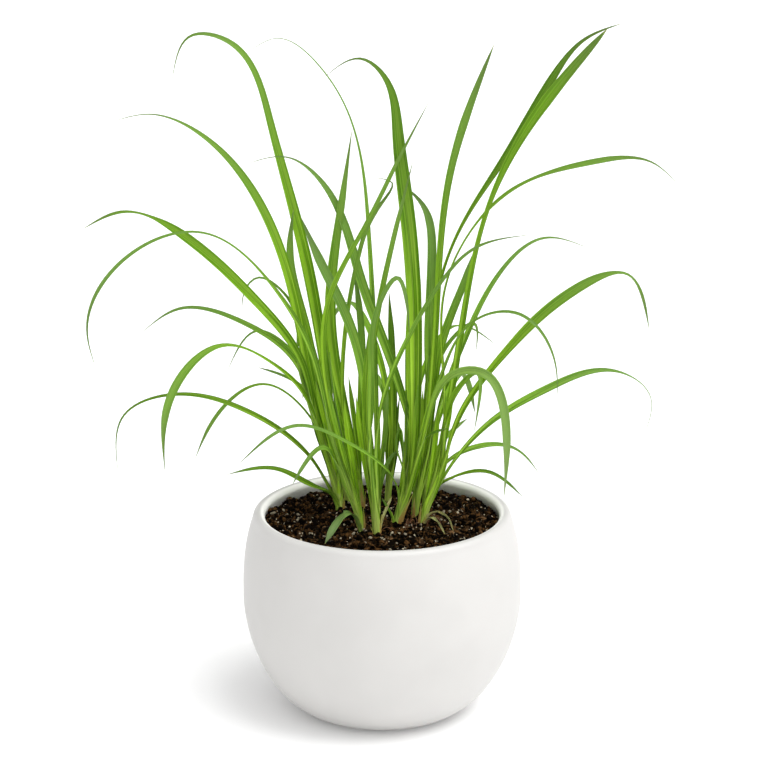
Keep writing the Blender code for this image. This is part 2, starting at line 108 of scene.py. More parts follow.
# Sheaths
SHEATH_SHARE = 0.2                # part of the finish's length that the sheath takes
SHEATH_DEPTH = 5.0 * MM           # how far a sheath reaches into the mix
SHEATH_STEP = 14 * MM             # distance between the points that a sheath follows
LAYER = 0.22 * MM                 # from one sheath of a stalk to the next one out
PEEL = 2.8 * MM                   # how far a sheath has left its stalk where its blade begins
PEEL_POWER = 1.3
FOOT_WRAP = radians(150)          # turn of a sheath from its middle to an edge, at its foot
TOP_WRAP = radians(48)            # and at its top
TOP_SPREAD = 0.72                 # half width of a sheath's top, per width of the blade there
OPEN_BEFORE = 10 * MM             # how far under its sheath's end a blade begins to open
OPEN_LENGTH = 34 * MM
TURN_LENGTH = 50 * MM             # length of blade over which it turns to its lean

# Form of a blade
ACROSS = (-1.0, -0.86, -0.62, -0.36, -0.14, 0.0, 0.14, 0.36, 0.62, 0.86, 1.0)
SECTION_STEPS = 81
BLADE_WRAP = 0.12                 # turn of an open blade from its middle to an edge, in radians
CREASE = 0.14                     # how sharp the fold at the midrib is, as a part of the half width
UNFOLDED = 1 / 2.2                # part of a blade's length over which it flattens
KEEL = 0.9                        # extra thickness of the midrib
KEEL_WIDTH = 0.10
EDGE_THIN = 0.75                  # how much of its thickness a blade loses at its edges
TIP_THIN = 0.6                    # how much of it a blade loses towards its tip
ABOVE = 0.4                       # part of the thickness that lies over the blade's middle surface
STEP = 4.0 * MM                   # distance between the stations of a blade
LEAST_STATIONS = 12
EASE_SAMPLES = 7
LEAST_LEAN = 26                   # least turn of a blade from facing the front, in degrees
WIDER = 1.01                      # that turn makes it look narrower, so it is this much wider
TIP_SHARE = 0.17                  # part of a blade over which it tapers to its tip
TIP_POWER = 0.8
TIP_HALF = 0.30 * MM
TIP_POINT = 0.03                  # part of a blade over which that runs out to a point
POINT_LEAST = 0.25                # half width at the very point, per TIP_HALF
SHARP = radians(50)

# Narrow leaves inside the clump
STRIP_SHARE = 0.7                 # part of the finish's length that they show
STRIP_KNOTS = 7
STRIP_FOOT = 0.7                  # where they start, as a part of the stalk's radius
STRIP_OFF_POWER = 1.6
STRIP_OPENED = 1 / 3              # part of the length over which they open
STRIP_TURNED = 1 / 1.6            # part over which they turn to their lean
STRIP_FLATTER = 0.4               # how much of their fold they lose towards the tip
STRIP_NARROWER = 0.8              # width at the tip end, per width
FACING = (25, 10, 10)             # lean of those that show their flat sides to the front
SIDEWAYS = (70, 90, 90)

# Old sheaths and rootlets
HUSK_KNOTS = 5
HUSK_STEP = 1.5 * MM
HUSK_GAP = 0.2 * MM
HUSK_TAPER = 2.5
HUSK_WRAP = radians(80)
HUSK_UNWRAPS = 0.5                # how much of that it loses towards its tip
HUSK_FOLD = radians(10)
ROOT_STEP = 0.8 * MM
ROOT_SIDES = 6
ROOT_THIN = 0.6                   # how much of its thickness a rootlet loses towards its end
ROOT_DEEP = 0.55                  # how far its colour goes from rust to the darkest
ROOT_ASIDE = (0.3, 0.9, 0.1)      # a direction that no rootlet follows

# Stage
FLOOR_PROFILE = ((0.0, -0.0002), (24.0, -0.0002), (29.0, 0.6), (33.0, 2.6), (35.0, 6.0), (35.5, 6.0),
                 (35.5, -0.02), (0.0, -0.02))
FLOOR_STEPS = 96
# Lamps: name, width, azimuth and elevation in degrees
LAMPS = (("key", 40, 25, 64), ("fill", 100, 60, 30), ("top", 110, 30, 62))
SENSOR_WIDTH = 36.0
TARGET = (0.0014, 0.0, 0.240)     # where the camera looks

# Stalks: name, foot (x, y) in cm, width of the foot in mm, full widths of the blade in mm at even
# places along it, its lean in degrees along it (0 shows its flat side to the front, 90 turns it up),
# tone, and route points above the mix in cm.
STALKS = [
    ("stalk_01", (-3.0, 2.6), 6.4, (5, 7.6, 8.8, 8.2, 7.5, 7.5, 5.2, 1.7, 1.8),
     (10, 10, 10, 10, 20, 20), "mid",
     [(-3.5, 2.5, 16.8), (-5.0, 2.2, 22.9), (-6.2, 1.9, 29.6), (-8.8, 1.6, 37.1), (-12.5, 1.3, 41.5),
      (-16.0, 1.1, 42.9), (-18.5, 1.0, 42.4)]),
    ("stalk_02", (-2.4, 4.2), 5.4, (5, 7.4, 9, 10, 7.6, 5.4, 4.4, 3.4), (10, 10, 10, 10, 30, 45), "mid",
     [(-3.1, 4.3, 16.7), (-4.1, 4.7, 23.0), (-5.5, 5.3, 31.8), (-8.0, 6.1, 41.8), (-11.0, 6.6, 47.3),
      (-13.4, 6.8, 47.6), (-14.9, 7.0, 44.4)]),
    ("stalk_03", (-1.4, -2.0), 5.0, (5, 6, 5.6, 4.2, 3.4, 3.2, 2.6), (10, 10, 10, 20), "mid",
     [(-2.2, -2.0, 17.3), (-3.5, -1.7, 22.6), (-3.7, -1.3, 30.2), (-1.2, -1.0, 35.4), (1.3, -0.7, 40.4),
      (3.2, -0.5, 44.0)]),
    ("stalk_04", (-0.4, -2.7), 6.2, (5, 6, 5.5, 4.5, 3.8, 3), (10, 10, 10, 20), "mid",
     [(-0.6, -2.6, 16.6), (-1.0, -2.4, 21.7), (-0.6, -2.3, 27.7), (0.7, -2.1, 34.4),
      (2.1, -2.0, 40.2)]),
    ("stalk_05", (1.0, -0.7), 7.6, (8, 10, 11, 11.5, 12, 12, 10, 5, 4), (0, 0, 0, 0, 0, 0, 40, 75), "deep",
     [(1.6, -0.7, 16.0), (2.2, -0.6, 22.0), (2.2, -0.4, 29.0), (1.7, -0.3, 36.0), (1.0, -0.2, 42.0),
      (0.0, -0.1, 45.8), (-1.3, -0.1, 46.8), (-4.0, 0.0, 45.5)]),
    ("stalk_06", (2.8, -0.5), 5.6, (5.5, 6.2, 6.5, 6, 5.3, 4.8, 4.2, 3.2, 4.5, 6.5, 8.5, 11, 19),
     (10, 10, 10, 0, 0, 0, 10), "clear",
     [(3.4, -0.3, 15.8), (4.3, 0.2, 19.5), (5.4, 1.0, 26.2), (6.3, 1.7, 31.8), (7.5, 2.2, 36.4),
      (10.5, 3.0, 42.2), (15.6, 4.0, 48.4)]),
    ("stalk_07", (2.3, 0.7), 4.8, (5, 5.4, 5.2, 4.8, 5.2, 6.2, 9), (10, 10, 10, 20), "mid",
     [(2.6, 0.8, 16.0), (3.3, 1.0, 21.1), (3.9, 1.5, 29.7), (4.8, 2.0, 38.8), (7.7, 2.5, 47.5)]),
    ("stalk_08", (3.1, 3.4), 5, (5, 5, 5, 5, 4, 2.4, 2.2, 3.4, 5.4, 7, 6.8, 4.6, 6),
     (10, 10, 10, 10), "deep",
     [(3.3, 3.5, 17.0), (3.6, 3.9, 24.5), (4.1, 4.4, 30.0), (5.8, 4.8, 34.6), (8.6, 5.3, 39.0),
      (12.0, 5.8, 44.7), (14.1, 6.2, 47.3), (16.9, 6.5, 48.5)]),
    ("stalk_09", (0.4, 4.2), 5, (5, 6, 5.5, 4), (0, 0, 10), "deep",
     [(0.7, 4.3, 17.4), (0.8, 4.6, 23.1), (0.5, 5.0, 29.5)]),
    ("stalk_10", (-1.5, 2.8), 5, (5, 7.5, 8.4, 8.6, 7.4, 5, 3.6), (0, 0, 0), "mid",
     [(-1.9, 2.8, 17.0), (-2.8, 2.8, 21.6), (-3.7, 3.2, 28.2), (-3.0, 3.6, 35.3), (-2.1, 4.0, 41.4)]),
    ("stalk_11", (-0.3, 1.6), 4.6, (4.5, 5, 4.5, 4.2, 3.4, 1.5, 1.1, 1.6), (10, 20, 30, 60, 60, 50), "cool",
     [(-0.4, 2.0, 19.0), (-0.6, 3.0, 27.0), (-1.0, 4.1, 34.5), (-2.1, 5.6, 41.5), (-4.5, 6.4, 45.6),
      (-7.4, 6.9, 47.4), (-9.6, 7.1, 46.3)]),
    ("stalk_12", (1.6, 5.0), 5, (5, 6.5, 6.5, 5.5, 4), (90, 90, 90), "mid",
     [(1.9, 5.6, 17.5), (2.0, 6.8, 23.5), (2.2, 9.0, 28.0), (2.6, 12.0, 29.0), (3.0, 14.5, 26.5)]),
]

# Leaves: name, stalk it leaves, height of that place in cm, widths in mm, lean, tone and route points in
# cm, as above.
LEAVES = [
    ("leaf_left_01", "stalk_01", 19.5, (4.5, 5.4, 6, 6.6, 7, 7.2, 7.5, 7.6, 7.4, 6.6, 0.2, 4.8, 4),
     (20, 10, 10, 10, 10, 20, 20), "clear",
     [(-5.6, 1.0, 25.0), (-8.8, -0.7, 30.2), (-13.5, -2.7, 35.2), (-17.5, -4.1, 37.1),
      (-20.0, -5.0, 36.1)]),
    ("leaf_left_02", "stalk_03", 20.0, (4, 5.6, 4.6, 1.5, 1.3, 2.6, 3, 2.2),
     (20, 10, 10, 10, 10), "cool",
     [(-4.6, -2.4, 26.0), (-7.6, -3.8, 32.2), (-12.0, -5.1, 35.9), (-17.4, -6.4, 34.1),
      (-19.6, -7.4, 29.7), (-19.0, -8.0, 27.2)]),
    ("leaf_left_03", "stalk_01", 20.8, (5.4, 5.6, 4.8, 4.2, 3.6, 2.7, 1.9, 1.5),
     (20, 10, 10, 10), "cool",
     [(-6.0, 3.8, 24.2), (-10.0, 5.4, 27.1), (-14.7, 6.9, 27.8), (-17.7, 8.0, 25.7)]),
    ("leaf_left_04", "stalk_02", 21.3, (2.6, 2.4, 2, 1.8, 1.4), (20, 20, 30, 40), "cool",
     [(-6.2, 5.4, 24.6), (-8.9, 6.6, 26.2), (-11.4, 8.0, 22.9)]),
    ("leaf_left_05", "stalk_01", 18.6, (4, 4.2, 4, 2.2, 1.2, 5.4, 6.6, 4.8, 1.4),
     (20, 10, 10, 20, 10, 10), "mid",
     [(-5.6, 0.0, 23.4), (-8.0, -1.9, 26.3), (-11.0, -3.9, 27.8), (-14.2, -6.7, 25.0),
      (-14.4, -10.0, 20.5)]),
    ("leaf_left_06", "stalk_02", 20.3, (3.6, 3.2, 2.2, 1.6), (20, 20, 30), "cool",
     [(-6.2, 5.0, 22.7), (-9.1, 6.0, 23.6)]),
    ("leaf_left_07", "stalk_01", 15.2, (3.6, 4, 4.2, 3.8, 3, 1.8, 1.4, 1.4),
     (20, 10, 10, 10), "deep",
     [(-5.6, 2.7, 18.2), (-9.9, 3.1, 21.2), (-14.6, 3.4, 22.3), (-18.7, 3.7, 20.6),
      (-19.3, 4.0, 16.3)]),
    ("leaf_left_08", "stalk_02", 17.0, (4, 3, 2, 2, 3.2, 3.6, 3, 2),
     (10, 40, 65, 65, 40, 10, 10), "mid",
     [(-5.2, 4.6, 20.1), (-8.5, 6.0, 22.3), (-11.8, 7.3, 20.1), (-14.1, 9.0, 15.6)]),
    ("leaf_left_09", "stalk_03", 17.4, (4, 4, 3.6, 3, 2.4), (20, 20, 20), "cool",
     [(-4.0, -2.2, 20.0), (-6.2, -4.0, 17.9)]),
    ("leaf_left_10", "stalk_01", 14.8, (4.5, 5, 4.6, 3.4, 2.6, 2), (20, 20, 40, 50), "deep",
     [(-4.6, 0.5, 16.1), (-7.4, -2.1, 18.4), (-10.7, -5.0, 18.9)]),
    ("leaf_front_01", "stalk_05", 15.4, (2, 2.2, 2.4, 2.6, 2.6, 2.2), (20, 20, 30, 40), "cool",
     [(0.0, -3.4, 19.1), (-2.6, -4.4, 21.2), (-5.7, -5.2, 22.5), (-9.7, -7.0, 20.3)]),
    ("leaf_front_02", "stalk_05", 17.2, (5, 6, 6.4, 6, 6, 6.8, 5.6, 3.4), (60, 40, 20, 10), "pale",
     [(3.3, -3.1, 22.4), (4.9, -4.4, 25.9), (6.8, -5.4, 26.3), (8.4, -7.4, 21.9), (8.2, -9.0, 18.6)]),
    ("leaf_front_03", "stalk_06", 18.4, (4.5, 5.5, 4.6, 2.4, 1.8), (30, 20, 20), "mid",
     [(5.0, -1.2, 23.4), (6.5, -1.8, 25.3), (6.4, -3.0, 21.4)]),
    ("leaf_front_04", "stalk_05", 19.0, (4, 4, 3.4, 1.8, 1.6, 2.6, 1.6, 1.6), (30, 20, 20, 20), "cool",
     [(4.2, -2.7, 25.6), (6.4, -4.2, 29.7), (9.2, -5.4, 30.4), (11.6, -7.0, 27.4), (11.7, -8.0, 25.2)]),
    ("leaf_front_05", "stalk_05", 18.2, (3.5, 3.6, 3), (20, 30, 40), "deep",
     [(3.1, -1.8, 20.6), (4.6, -2.2, 21.4)]),
    ("leaf_middle_01", "stalk_07", 17.3, (5, 6.5, 7, 7.4, 7.4, 7, 5, 1.2, 1.8), (10, 10, 10, 20, 40), "cool",
     [(1.5, 1.7, 22.3), (0.2, 2.3, 26.2), (-1.5, 3.0, 30.8), (-4.4, 4.2, 37.8), (-6.6, 4.6, 39.3),
      (-9.5, 5.0, 38.8)]),
    ("leaf_middle_02", "stalk_02", 20.2, (4.5, 5.5, 6, 6, 5), (10, 0, 0), "mid",
     [(-5.5, 4.5, 27.2), (-6.6, 4.7, 32.5), (-6.3, 5.0, 35.5)]),
    ("leaf_middle_03", "stalk_04", 19.0, (5, 6.5, 7, 7.5, 7, 5.5), (10, 0, 0), "cool",
     [(-1.4, -0.9, 25.2), (-2.9, 1.0, 29.6), (-4.4, 2.0, 32.5), (-5.7, 2.8, 35.4)]),
    ("leaf_middle_04", "stalk_10", 17.0, (3.6, 4, 4, 4, 3.4), (10, 0, 0), "mid",
     [(-2.5, 1.6, 28.0), (-1.5, 1.6, 33.3), (-0.1, 1.5, 36.5), (0.7, 1.5, 38.1), (-0.4, 1.5, 38.4)]),
    ("leaf_middle_05", "stalk_07", 19.6, (5, 6.6, 7, 7, 7, 6, 4), (0, 0, 0), "cool",
     [(3.3, 2.1, 27.0), (3.5, 2.4, 33.0), (2.9, 2.7, 36.2), (1.4, 3.0, 37.7)]),
    ("leaf_middle_06", "stalk_04", 18.2, (5.5, 6, 5, 4, 3.2, 3), (10, 10, 0), "cool",
     [(-0.7, -2.9, 26.5), (0.0, -3.0, 30.9), (1.0, -2.9, 32.3), (1.7, -2.5, 30.3), (1.9, -2.3, 28.1)]),
    ("leaf_middle_07", "stalk_10", 16.6, (5, 6, 5.5, 4.4), (10, 0, 0), "mid",
     [(-1.5, 3.4, 22.5), (-1.5, 3.6, 27.0), (-2.0, 3.8, 31.5)]),
    ("leaf_middle_08", "stalk_11", 16.8, (4, 4.2, 3.6, 3), (10, 0, 0), "mid",
     [(0.1, 0.6, 19.0), (0.3, 0.3, 24.6)]),
    ("leaf_middle_09", "stalk_05", 17.6, (2, 1.6, 1.3), (0, 0, 0), "deep",
     [(1.0, -1.9, 20.6), (1.2, -2.1, 21.3), (1.5, -2.2, 18.9)]),
    ("leaf_middle_10", "stalk_11", 14.8, (3.5, 3.6, 3), (10, 10, 20), "mid",
     [(0.2, -0.8, 17.9), (0.9, -1.3, 19.3), (1.3, -1.6, 19.6)]),
    ("leaf_right_01", "stalk_06", 20.6, (3.6, 3.4, 2.8, 2.2, 1.8, 1.5, 1.5, 3.2, 1.9, 4.2, 4.4, 2.4, 1.6),
     (20, 20, 20, 20, 20, 10), "mid",
     [(4.3, -0.3, 30.5), (5.8, -1.0, 34.7), (8.9, -2.1, 38.3), (14.2, -3.5, 40.4), (18.0, -4.4, 40.5),
      (19.7, -5.0, 39.1)]),
    ("leaf_right_02", "stalk_04", 19.8, (4, 4.4, 3.8, 3.4, 2.8, 2.1, 1.6), (20, 10, 20, 30), "cool",
     [(0.5, -2.6, 24.9), (2.1, -1.9, 28.4), (4.1, -1.8, 31.8), (6.3, -2.2, 34.2), (9.9, -3.0, 35.3)]),
    ("leaf_right_03", "stalk_08", 19.8, (4.2, 4.6, 4.4, 4.2, 3.6, 2.8, 1.6, 1.5), (20, 10, 20, 40), "cool",
     [(5.7, 3.3, 25.8), (8.2, 5.4, 30.4), (11.6, 7.4, 32.9), (15.0, 9.0, 31.9)]),
    ("leaf_right_04", "stalk_06", 17.2, (5, 5, 5, 5, 5, 5.6, 7, 7.6, 7.6, 6.4, 0.2, 5.2, 4),
     (20, 20, 20, 10, 10, 10), "mid",
     [(5.4, -1.4, 21.9), (8.7, -2.0, 27.0), (13.0, -2.8, 31.3), (16.6, -3.4, 32.7),
      (18.2, -4.0, 28.9)]),
    ("leaf_right_05", "stalk_06", 16.3, (3.6, 3.8, 4.6, 5.6, 5.8, 4.6, 1.2, 1.4, 2.4),
     (40, 20, 10, 10, 10, 10, 40, 70, 40), "cool",
     [(7.5, 1.6, 20.5), (12.0, 3.0, 22.9), (16.7, 4.3, 23.8), (19.6, 5.3, 21.5), (19.4, 6.0, 18.7)]),
    ("leaf_right_06", "stalk_08", 15.6, (4, 4.6, 4.6, 3.6, 2, 1.6, 1.6), (20, 20, 30), "cool",
     [(5.5, 3.4, 17.7), (9.2, 5.4, 17.8), (11.7, 8.0, 14.9)]),
    ("leaf_right_07", "stalk_08", 14.8, (4, 4.5, 4, 3, 2.4, 2), (20, 10, 45, 45, 30, 20), "deep",
     [(4.9, 2.3, 16.2), (7.5, 1.7, 17.0), (10.1, 1.0, 15.3)]),
    ("leaf_right_08", "stalk_07", 16.4, (3.5, 3.6, 3.4, 2.6), (20, 30, 40), "mid",
     [(4.6, 2.5, 19.3), (6.2, 4.0, 20.3)]),
    ("leaf_right_09", "stalk_07", 17.8, (3, 3.4, 3.2, 2.8, 2.2), (20, 20, 20), "mid",
     [(3.6, 2.6, 22.5), (5.0, 3.4, 26.4), (6.5, 4.0, 27.4), (6.8, 4.8, 25.1)]),
    ("leaf_right_10", "stalk_07", 18.8, (5, 7, 7, 6.2, 5.5, 4.5), (10, 0, 0), "mid",
     [(3.9, 1.7, 25.0), (4.9, 2.3, 28.4), (5.9, 2.7, 30.9), (7.0, 3.0, 34.1)]),
    ("leaf_back_01", "stalk_09", 18.0, (4.5, 5.5, 5.5, 5, 4), (90, 90, 90), "mid",
     [(-0.6, 8.0, 25.0), (-2.4, 12.0, 27.0), (-4.2, 16.0, 24.0)]),
    ("leaf_back_02", "stalk_02", 16.0, (4.5, 6, 6, 5.5, 4), (90, 90, 90), "mid",
     [(-3.4, 8.0, 21.0), (-5.0, 12.0, 22.5), (-6.2, 15.5, 18.5)]),
    ("leaf_back_03", "stalk_08", 16.8, (4.5, 6, 6, 5.5, 4), (90, 90, 90), "mid",
     [(4.6, 7.5, 20.5), (6.0, 11.5, 21.5), (7.2, 15.0, 17.5)]),
    ("leaf_back_04", "stalk_12", 16.6, (4.5, 5, 5, 4.5, 3.5), (90, 90, 90), "soft",
     [(0.4, 7.6, 20.6), (-0.6, 10.6, 21.8), (-1.2, 13.6, 18.6)]),
    ("leaf_back_05", "stalk_12", 18.0, (4.5, 5, 5, 4.5, 3.5), (90, 90, 90), "mid",
     [(3.4, 8.2, 23.6), (5.4, 11.0, 25.4), (8.6, 13.6, 23.4)]),
    ("shoot_01", "stalk_03", 14.5, (4, 5, 5.5, 4.5), (20, 30, 40), "blue",
     [(-2.4, -3.8, 15.7), (-3.9, -7.0, 14.6)]),
    ("shoot_02", "stalk_05", 14.3, (2.5, 2.5, 2), (10, 0, 0), "mid",
     [(0.4, -1.7, 15.3), (0.0, -2.0, 16.2)]),
]

# Thin extra leaf ends, as above, that have no solid of their own.
WISPS = [
    ("wisp_01", "stalk_01", 24.6, (3, 3, 2.6, 1.8, 1.5, 1.3), (10, 10, 10), "cool",
     [(-6.4, 2.0, 29.3), (-7.2, 2.0, 30.4), (-8.8, 2.0, 31.2), (-9.7, 2.0, 30.2), (-9.9, 2.0, 28.9)]),
]

DRY_LEAVES = [
    ("dry_leaf_01", "stalk_06", 14.1, (2.2, 2.2, 1.6), (30, 40, 60), "dry",
     [(3.7, -2.0, 14.7), (4.4, -4.0, 14.2)]),
    ("dry_leaf_02", "stalk_06", 14.6, (2, 2, 1.5), (30, 40, 60), "dry",
     [(4.3, -1.4, 14.9), (5.0, -3.2, 14.2)]),
    ("dry_leaf_03", "stalk_04", 14.3, (2.4, 2.4, 1.8), (10, 20, 20), "dry",
     [(0.3, -1.9, 15.3), (0.7, -1.6, 16.2)]),
]

# Narrow leaves inside the clump: stalk, heading in degrees from the right, height of the tip over the
# mix in cm, how far the tip stands off the stalk and width in mm, and tone.
STRIPS = [
    ("stalk_01", 20, 8.5, 7.0, 4.6, "mid"),
    ("stalk_01", -160, 7.0, 4.0, 4.2, "deep"),
    ("stalk_01", -40, 10.0, 3.0, 4.4, "bright"),
    ("stalk_02", 10, 11.0, 6.0, 5.0, "mid"),
    ("stalk_02", -170, 9.0, 4.0, 4.4, "deep"),
    ("stalk_03", 5, 9.5, 8.0, 5.0, "bright"),
    ("stalk_03", 175, 8.0, 6.0, 4.8, "mid"),
    ("stalk_03", -80, 10.5, 2.5, 4.4, "mid"),
    ("stalk_04", 8, 8.5, 6.5, 4.8, "mid"),
    ("stalk_04", 172, 10.0, 6.0, 5.0, "bright"),
    ("stalk_04", -70, 9.0, 1.5, 4.0, "mid"),
    ("stalk_05", 5, 9.0, 7.5, 5.2, "bright"),
    ("stalk_05", -60, 10.5, 3.0, 5.0, "mid"),
    ("stalk_05", -30, 6.5, 6.0, 4.6, "bright"),
    ("stalk_06", 10, 5.0, 4.0, 4.6, "bright"),
    ("stalk_06", 175, 8.5, 5.5, 4.8, "bright"),
    ("stalk_06", -75, 9.5, 2.5, 4.4, "bright"),
    ("stalk_07", 170, 9.5, 4.5, 4.6, "bright"),
    ("stalk_08", 175, 8.0, 5.0, 4.6, "mid"),
    ("stalk_09", 170, 9.0, 7.0, 4.6, "deep"),
    ("stalk_09", 10, 6.0, 3.0, 4.0, "deep"),
    ("stalk_10", 10, 10.0, 6.5, 5.0, "mid"),
    ("stalk_10", 170, 8.5, 5.5, 4.8, "deep"),
    ("stalk_10", -80, 9.0, 3.0, 4.6, "bright"),
    ("stalk_11", 8, 6.0, 4.0, 4.2, "deep"),
    ("stalk_11", 172, 9.5, 6.5, 4.8, "mid"),
    ("stalk_12", 30, 9.0, 5.0, 4.6, "mid"),
]

# More of them, turned with their flat sides to the left and the right.
TURNED = [
    ("stalk_01", 0, 9.0, 3.0, 5.4, "mid"),
    ("stalk_01", 180, 11.0, 2.5, 5.0, "deep"),
    ("stalk_02", 180, 12.0, 3.0, 5.6, "deep"),
    ("stalk_03", 0, 13.0, 2.5, 5.0, "mid"),
    ("stalk_04", 180, 15.0, 2.0, 4.8, "mid"),
    ("stalk_05", 180, 10.0, 2.5, 5.6, "deep"),
    ("stalk_07", 180, 12.0, 2.0, 5.2, "mid"),
    ("stalk_08", 0, 11.0, 2.0, 5.2, "deep"),
    ("stalk_09", 0, 8.0, 2.5, 5.4, "deep"),
    ("stalk_10", 180, 12.0, 2.5, 5.6, "mid"),
]

# Old sheaths at the feet: stalk, heading in degrees from the right, height of the tip over the mix in
# cm, how far the tip stands off the stalk and width in mm.
HUSKS = [
    ("stalk_05", 0, 2.4, 1.6, 6.5),
    ("stalk_05", -55, 1.7, 1.2, 6.0),
    ("stalk_05", 175, 1.0, 0.8, 4.5),
    ("stalk_04", 5, 1.5, 1.4, 4.6),
    ("stalk_04", -150, 0.7, 0.8, 3.6),
    ("stalk_03", 0, 1.8, 1.2, 4.4),
    ("stalk_03", -170, 0.8, 1.0, 3.6),
    ("stalk_06", -165, 1.6, 1.5, 4.6),
    ("stalk_06", -60, 0.8, 0.8, 4.4),
    ("stalk_02", -20, 2.6, 1.6, 4.6),
    ("stalk_01", -30, 1.2, 1.2, 5.0),
    ("stalk_10", -60, 2.2, 1.4, 4.6),
    ("stalk_10", 20, 1.4, 1.6, 3.8),
    ("stalk_11", -90, 1.4, 1.2, 4.0),
    ("stalk_07", -120, 1.8, 1.4, 4.0),
    ("stalk_08", -60, 1.0, 1.2, 4.2),
]

# Rootlets: width in mm and route points over the mix in cm.
ROOTLETS = [
    (0.7, [(-0.10, -2.3, -0.1), (0.05, -2.5, 0.35), (0.35, -2.6, 0.55), (0.65, -2.5, 0.3),
           (0.75, -2.4, -0.1)]),
    (0.8, [(1.5, -1.2, -0.1), (1.75, -1.5, 0.5), (2.05, -1.8, 0.6), (2.2, -2.1, -0.1)]),
    (0.6, [(1.75, -1.0, -0.1), (1.85, -1.3, 0.75), (1.75, -1.7, 0.7), (1.65, -2.1, -0.1)]),
    (0.7, [(2.3, -1.0, -0.1), (2.15, -1.4, 0.7), (1.85, -1.6, 0.4), (1.6, -1.6, -0.1)]),
    (0.6, [(2.0, -0.6, -0.1), (2.25, -0.9, 0.9), (2.45, -1.2, 0.7), (2.3, -1.5, -0.1)]),
    (0.7, [(3.2, -1.0, -0.1), (3.5, -1.3, 0.8), (3.9, -1.5, 0.9), (4.2, -1.8, 0.35), (4.3, -2.0, -0.1)]),
    (0.5, [(0.1, -3.1, -0.1), (-0.15, -3.3, 0.3), (-0.45, -3.3, 0.2), (-0.6, -3.2, -0.1)]),
]


# ---------------------------------------------------------------------------------------------------
# Settings
# ---------------------------------------------------------------------------------------------------
def colour_setting(name, description, default):
    """A colour that a user may change."""
    return FloatVectorProperty(name=name, description=description, default=default, size=3, min=0.0,
                               max=1.0, subtype="COLOR")


def share_setting(name, description, default):
    """A number from 0 to 1 that a user may change."""
    return FloatProperty(name=name, description=description, default=default, min=0.0, max=1.0,
                         subtype="FACTOR")


class LEMONGRASS_PG_pot(bpy.types.PropertyGroup):
    """Sizes and colours of the pot."""
    glaze: colour_setting("Glaze", "Colour of the matte glaze", (0.555, 0.546, 0.531))
    # The inside colour is a brighter copy of the glaze: painted light on the inner wall under the rim
    inside: colour_setting("Inside", "Colour of the glaze inside the rim", (0.97, 0.955, 0.93))
    clay: colour_setting("Bare clay", "Colour of the unglazed foot", (0.62, 0.53, 0.43))
    roughness: share_setting("Roughness", "Roughness of the glaze", 0.46)
    turn_steps: IntProperty(name="Turn steps", description="Faces round the pot", default=220,
                            min=24, max=720)


class LEMONGRASS_PG_mix(bpy.types.PropertyGroup):
    """Sizes and colours of the potting mix."""
    peat: colour_setting("Peat", "Colour of the moist crumbs", (0.0052, 0.0025, 0.0008))
    bark: colour_setting("Bark", "Colour of the bark flakes", (0.070, 0.038, 0.016))
    grain: colour_setting("Perlite", "Colour of the pale grains", (0.58, 0.50, 0.36))
    relief: FloatProperty(name="Relief", description="Height of the lumps of the bed",
                          default=2.6 * MM, unit="LENGTH")
    crumbs: IntProperty(name="Crumbs", description="Number of crumbs", default=5200, min=0)
    flakes: IntProperty(name="Flakes", description="Number of bark flakes", default=420, min=0)
    grains: IntProperty(name="Grains", description="Number of perlite grains", default=950, min=0)
    seed: IntProperty(name="Seed", description="Start of the random numbers", default=11)


class LEMONGRASS_PG_grass(bpy.types.PropertyGroup):
    """Sizes and colours of the stalks and leaves."""
    # Shaded deep is a darker copy of the leaf green: painted shade for the leaves in the middle and low in
    # the clump
    deep: colour_setting("Deep", "Leaves that stand in the middle", (0.076, 0.212, 0.004))
    cool: colour_setting("Cool", "Leaves with a bluish bloom that stand upright", (0.122, 0.286, 0.030))
    mid: colour_setting("Mid", "Most leaves", (0.138, 0.318, 0.010))
    pale: colour_setting("Pale", "Worn outer half of an arching leaf", (0.330, 0.440, 0.190))
    blue: colour_setting("Blue", "A young side shoot", (0.085, 0.165, 0.048))
    bright: colour_setting("Bright", "Young leaves", (0.315, 0.570, 0.014))
    # Gleam is the pale colour of edges and ribs, also used for the painted highlights on them and on the
    # light stripes
    gleam: colour_setting("Gleam", "Thin pale edges and ribs", (0.560, 0.690, 0.130))
    tip: colour_setting("Tip", "Thin greyish end of a leaf", (0.105, 0.135, 0.060))
    foot: colour_setting("Foot", "Pale lower end of a sheath", (0.680, 0.840, 0.180))
    dry: colour_setting("Dry", "Withered leaves", (0.44, 0.45, 0.17))
    rust: colour_setting("Rust", "Old sheaths at the foot of a stalk", (0.30, 0.115, 0.040))
    straw: colour_setting("Straw", "Middle of an old sheath", (0.42, 0.30, 0.07))
    olive: colour_setting("Olive", "Upper end of an old sheath", (0.30, 0.36, 0.05))
    worn: colour_setting("Worn", "Patches on an old sheath", (0.46, 0.40, 0.12))
    root: colour_setting("Root", "Darkest of the rootlets", (0.05, 0.025, 0.012))
    through: colour_setting("Through", "Light that comes through a leaf", (0.50, 0.80, 0.03))
    bloom: share_setting("Bloom", "How far an arching leaf has worn pale", 0.30)
    glow: share_setting("Glow", "Part of the light that comes through a leaf", 0.32)
    roughness: share_setting("Roughness", "Roughness of a leaf", 0.42)
    thickness: FloatProperty(name="Thickness", description="Thickness of a blade",
                             default=0.34 * MM, unit="LENGTH")
    sheath: FloatProperty(name="Sheath", description="Thickness of a sheath",
                          default=0.20 * MM, unit="LENGTH")
    fold: FloatProperty(name="Fold", description="Slope of a half blade above its sheath",
                        default=radians(48), subtype="ANGLE")
    flat: FloatProperty(name="Flat", description="Slope of a half blade further out",
                        default=radians(16), subtype="ANGLE")


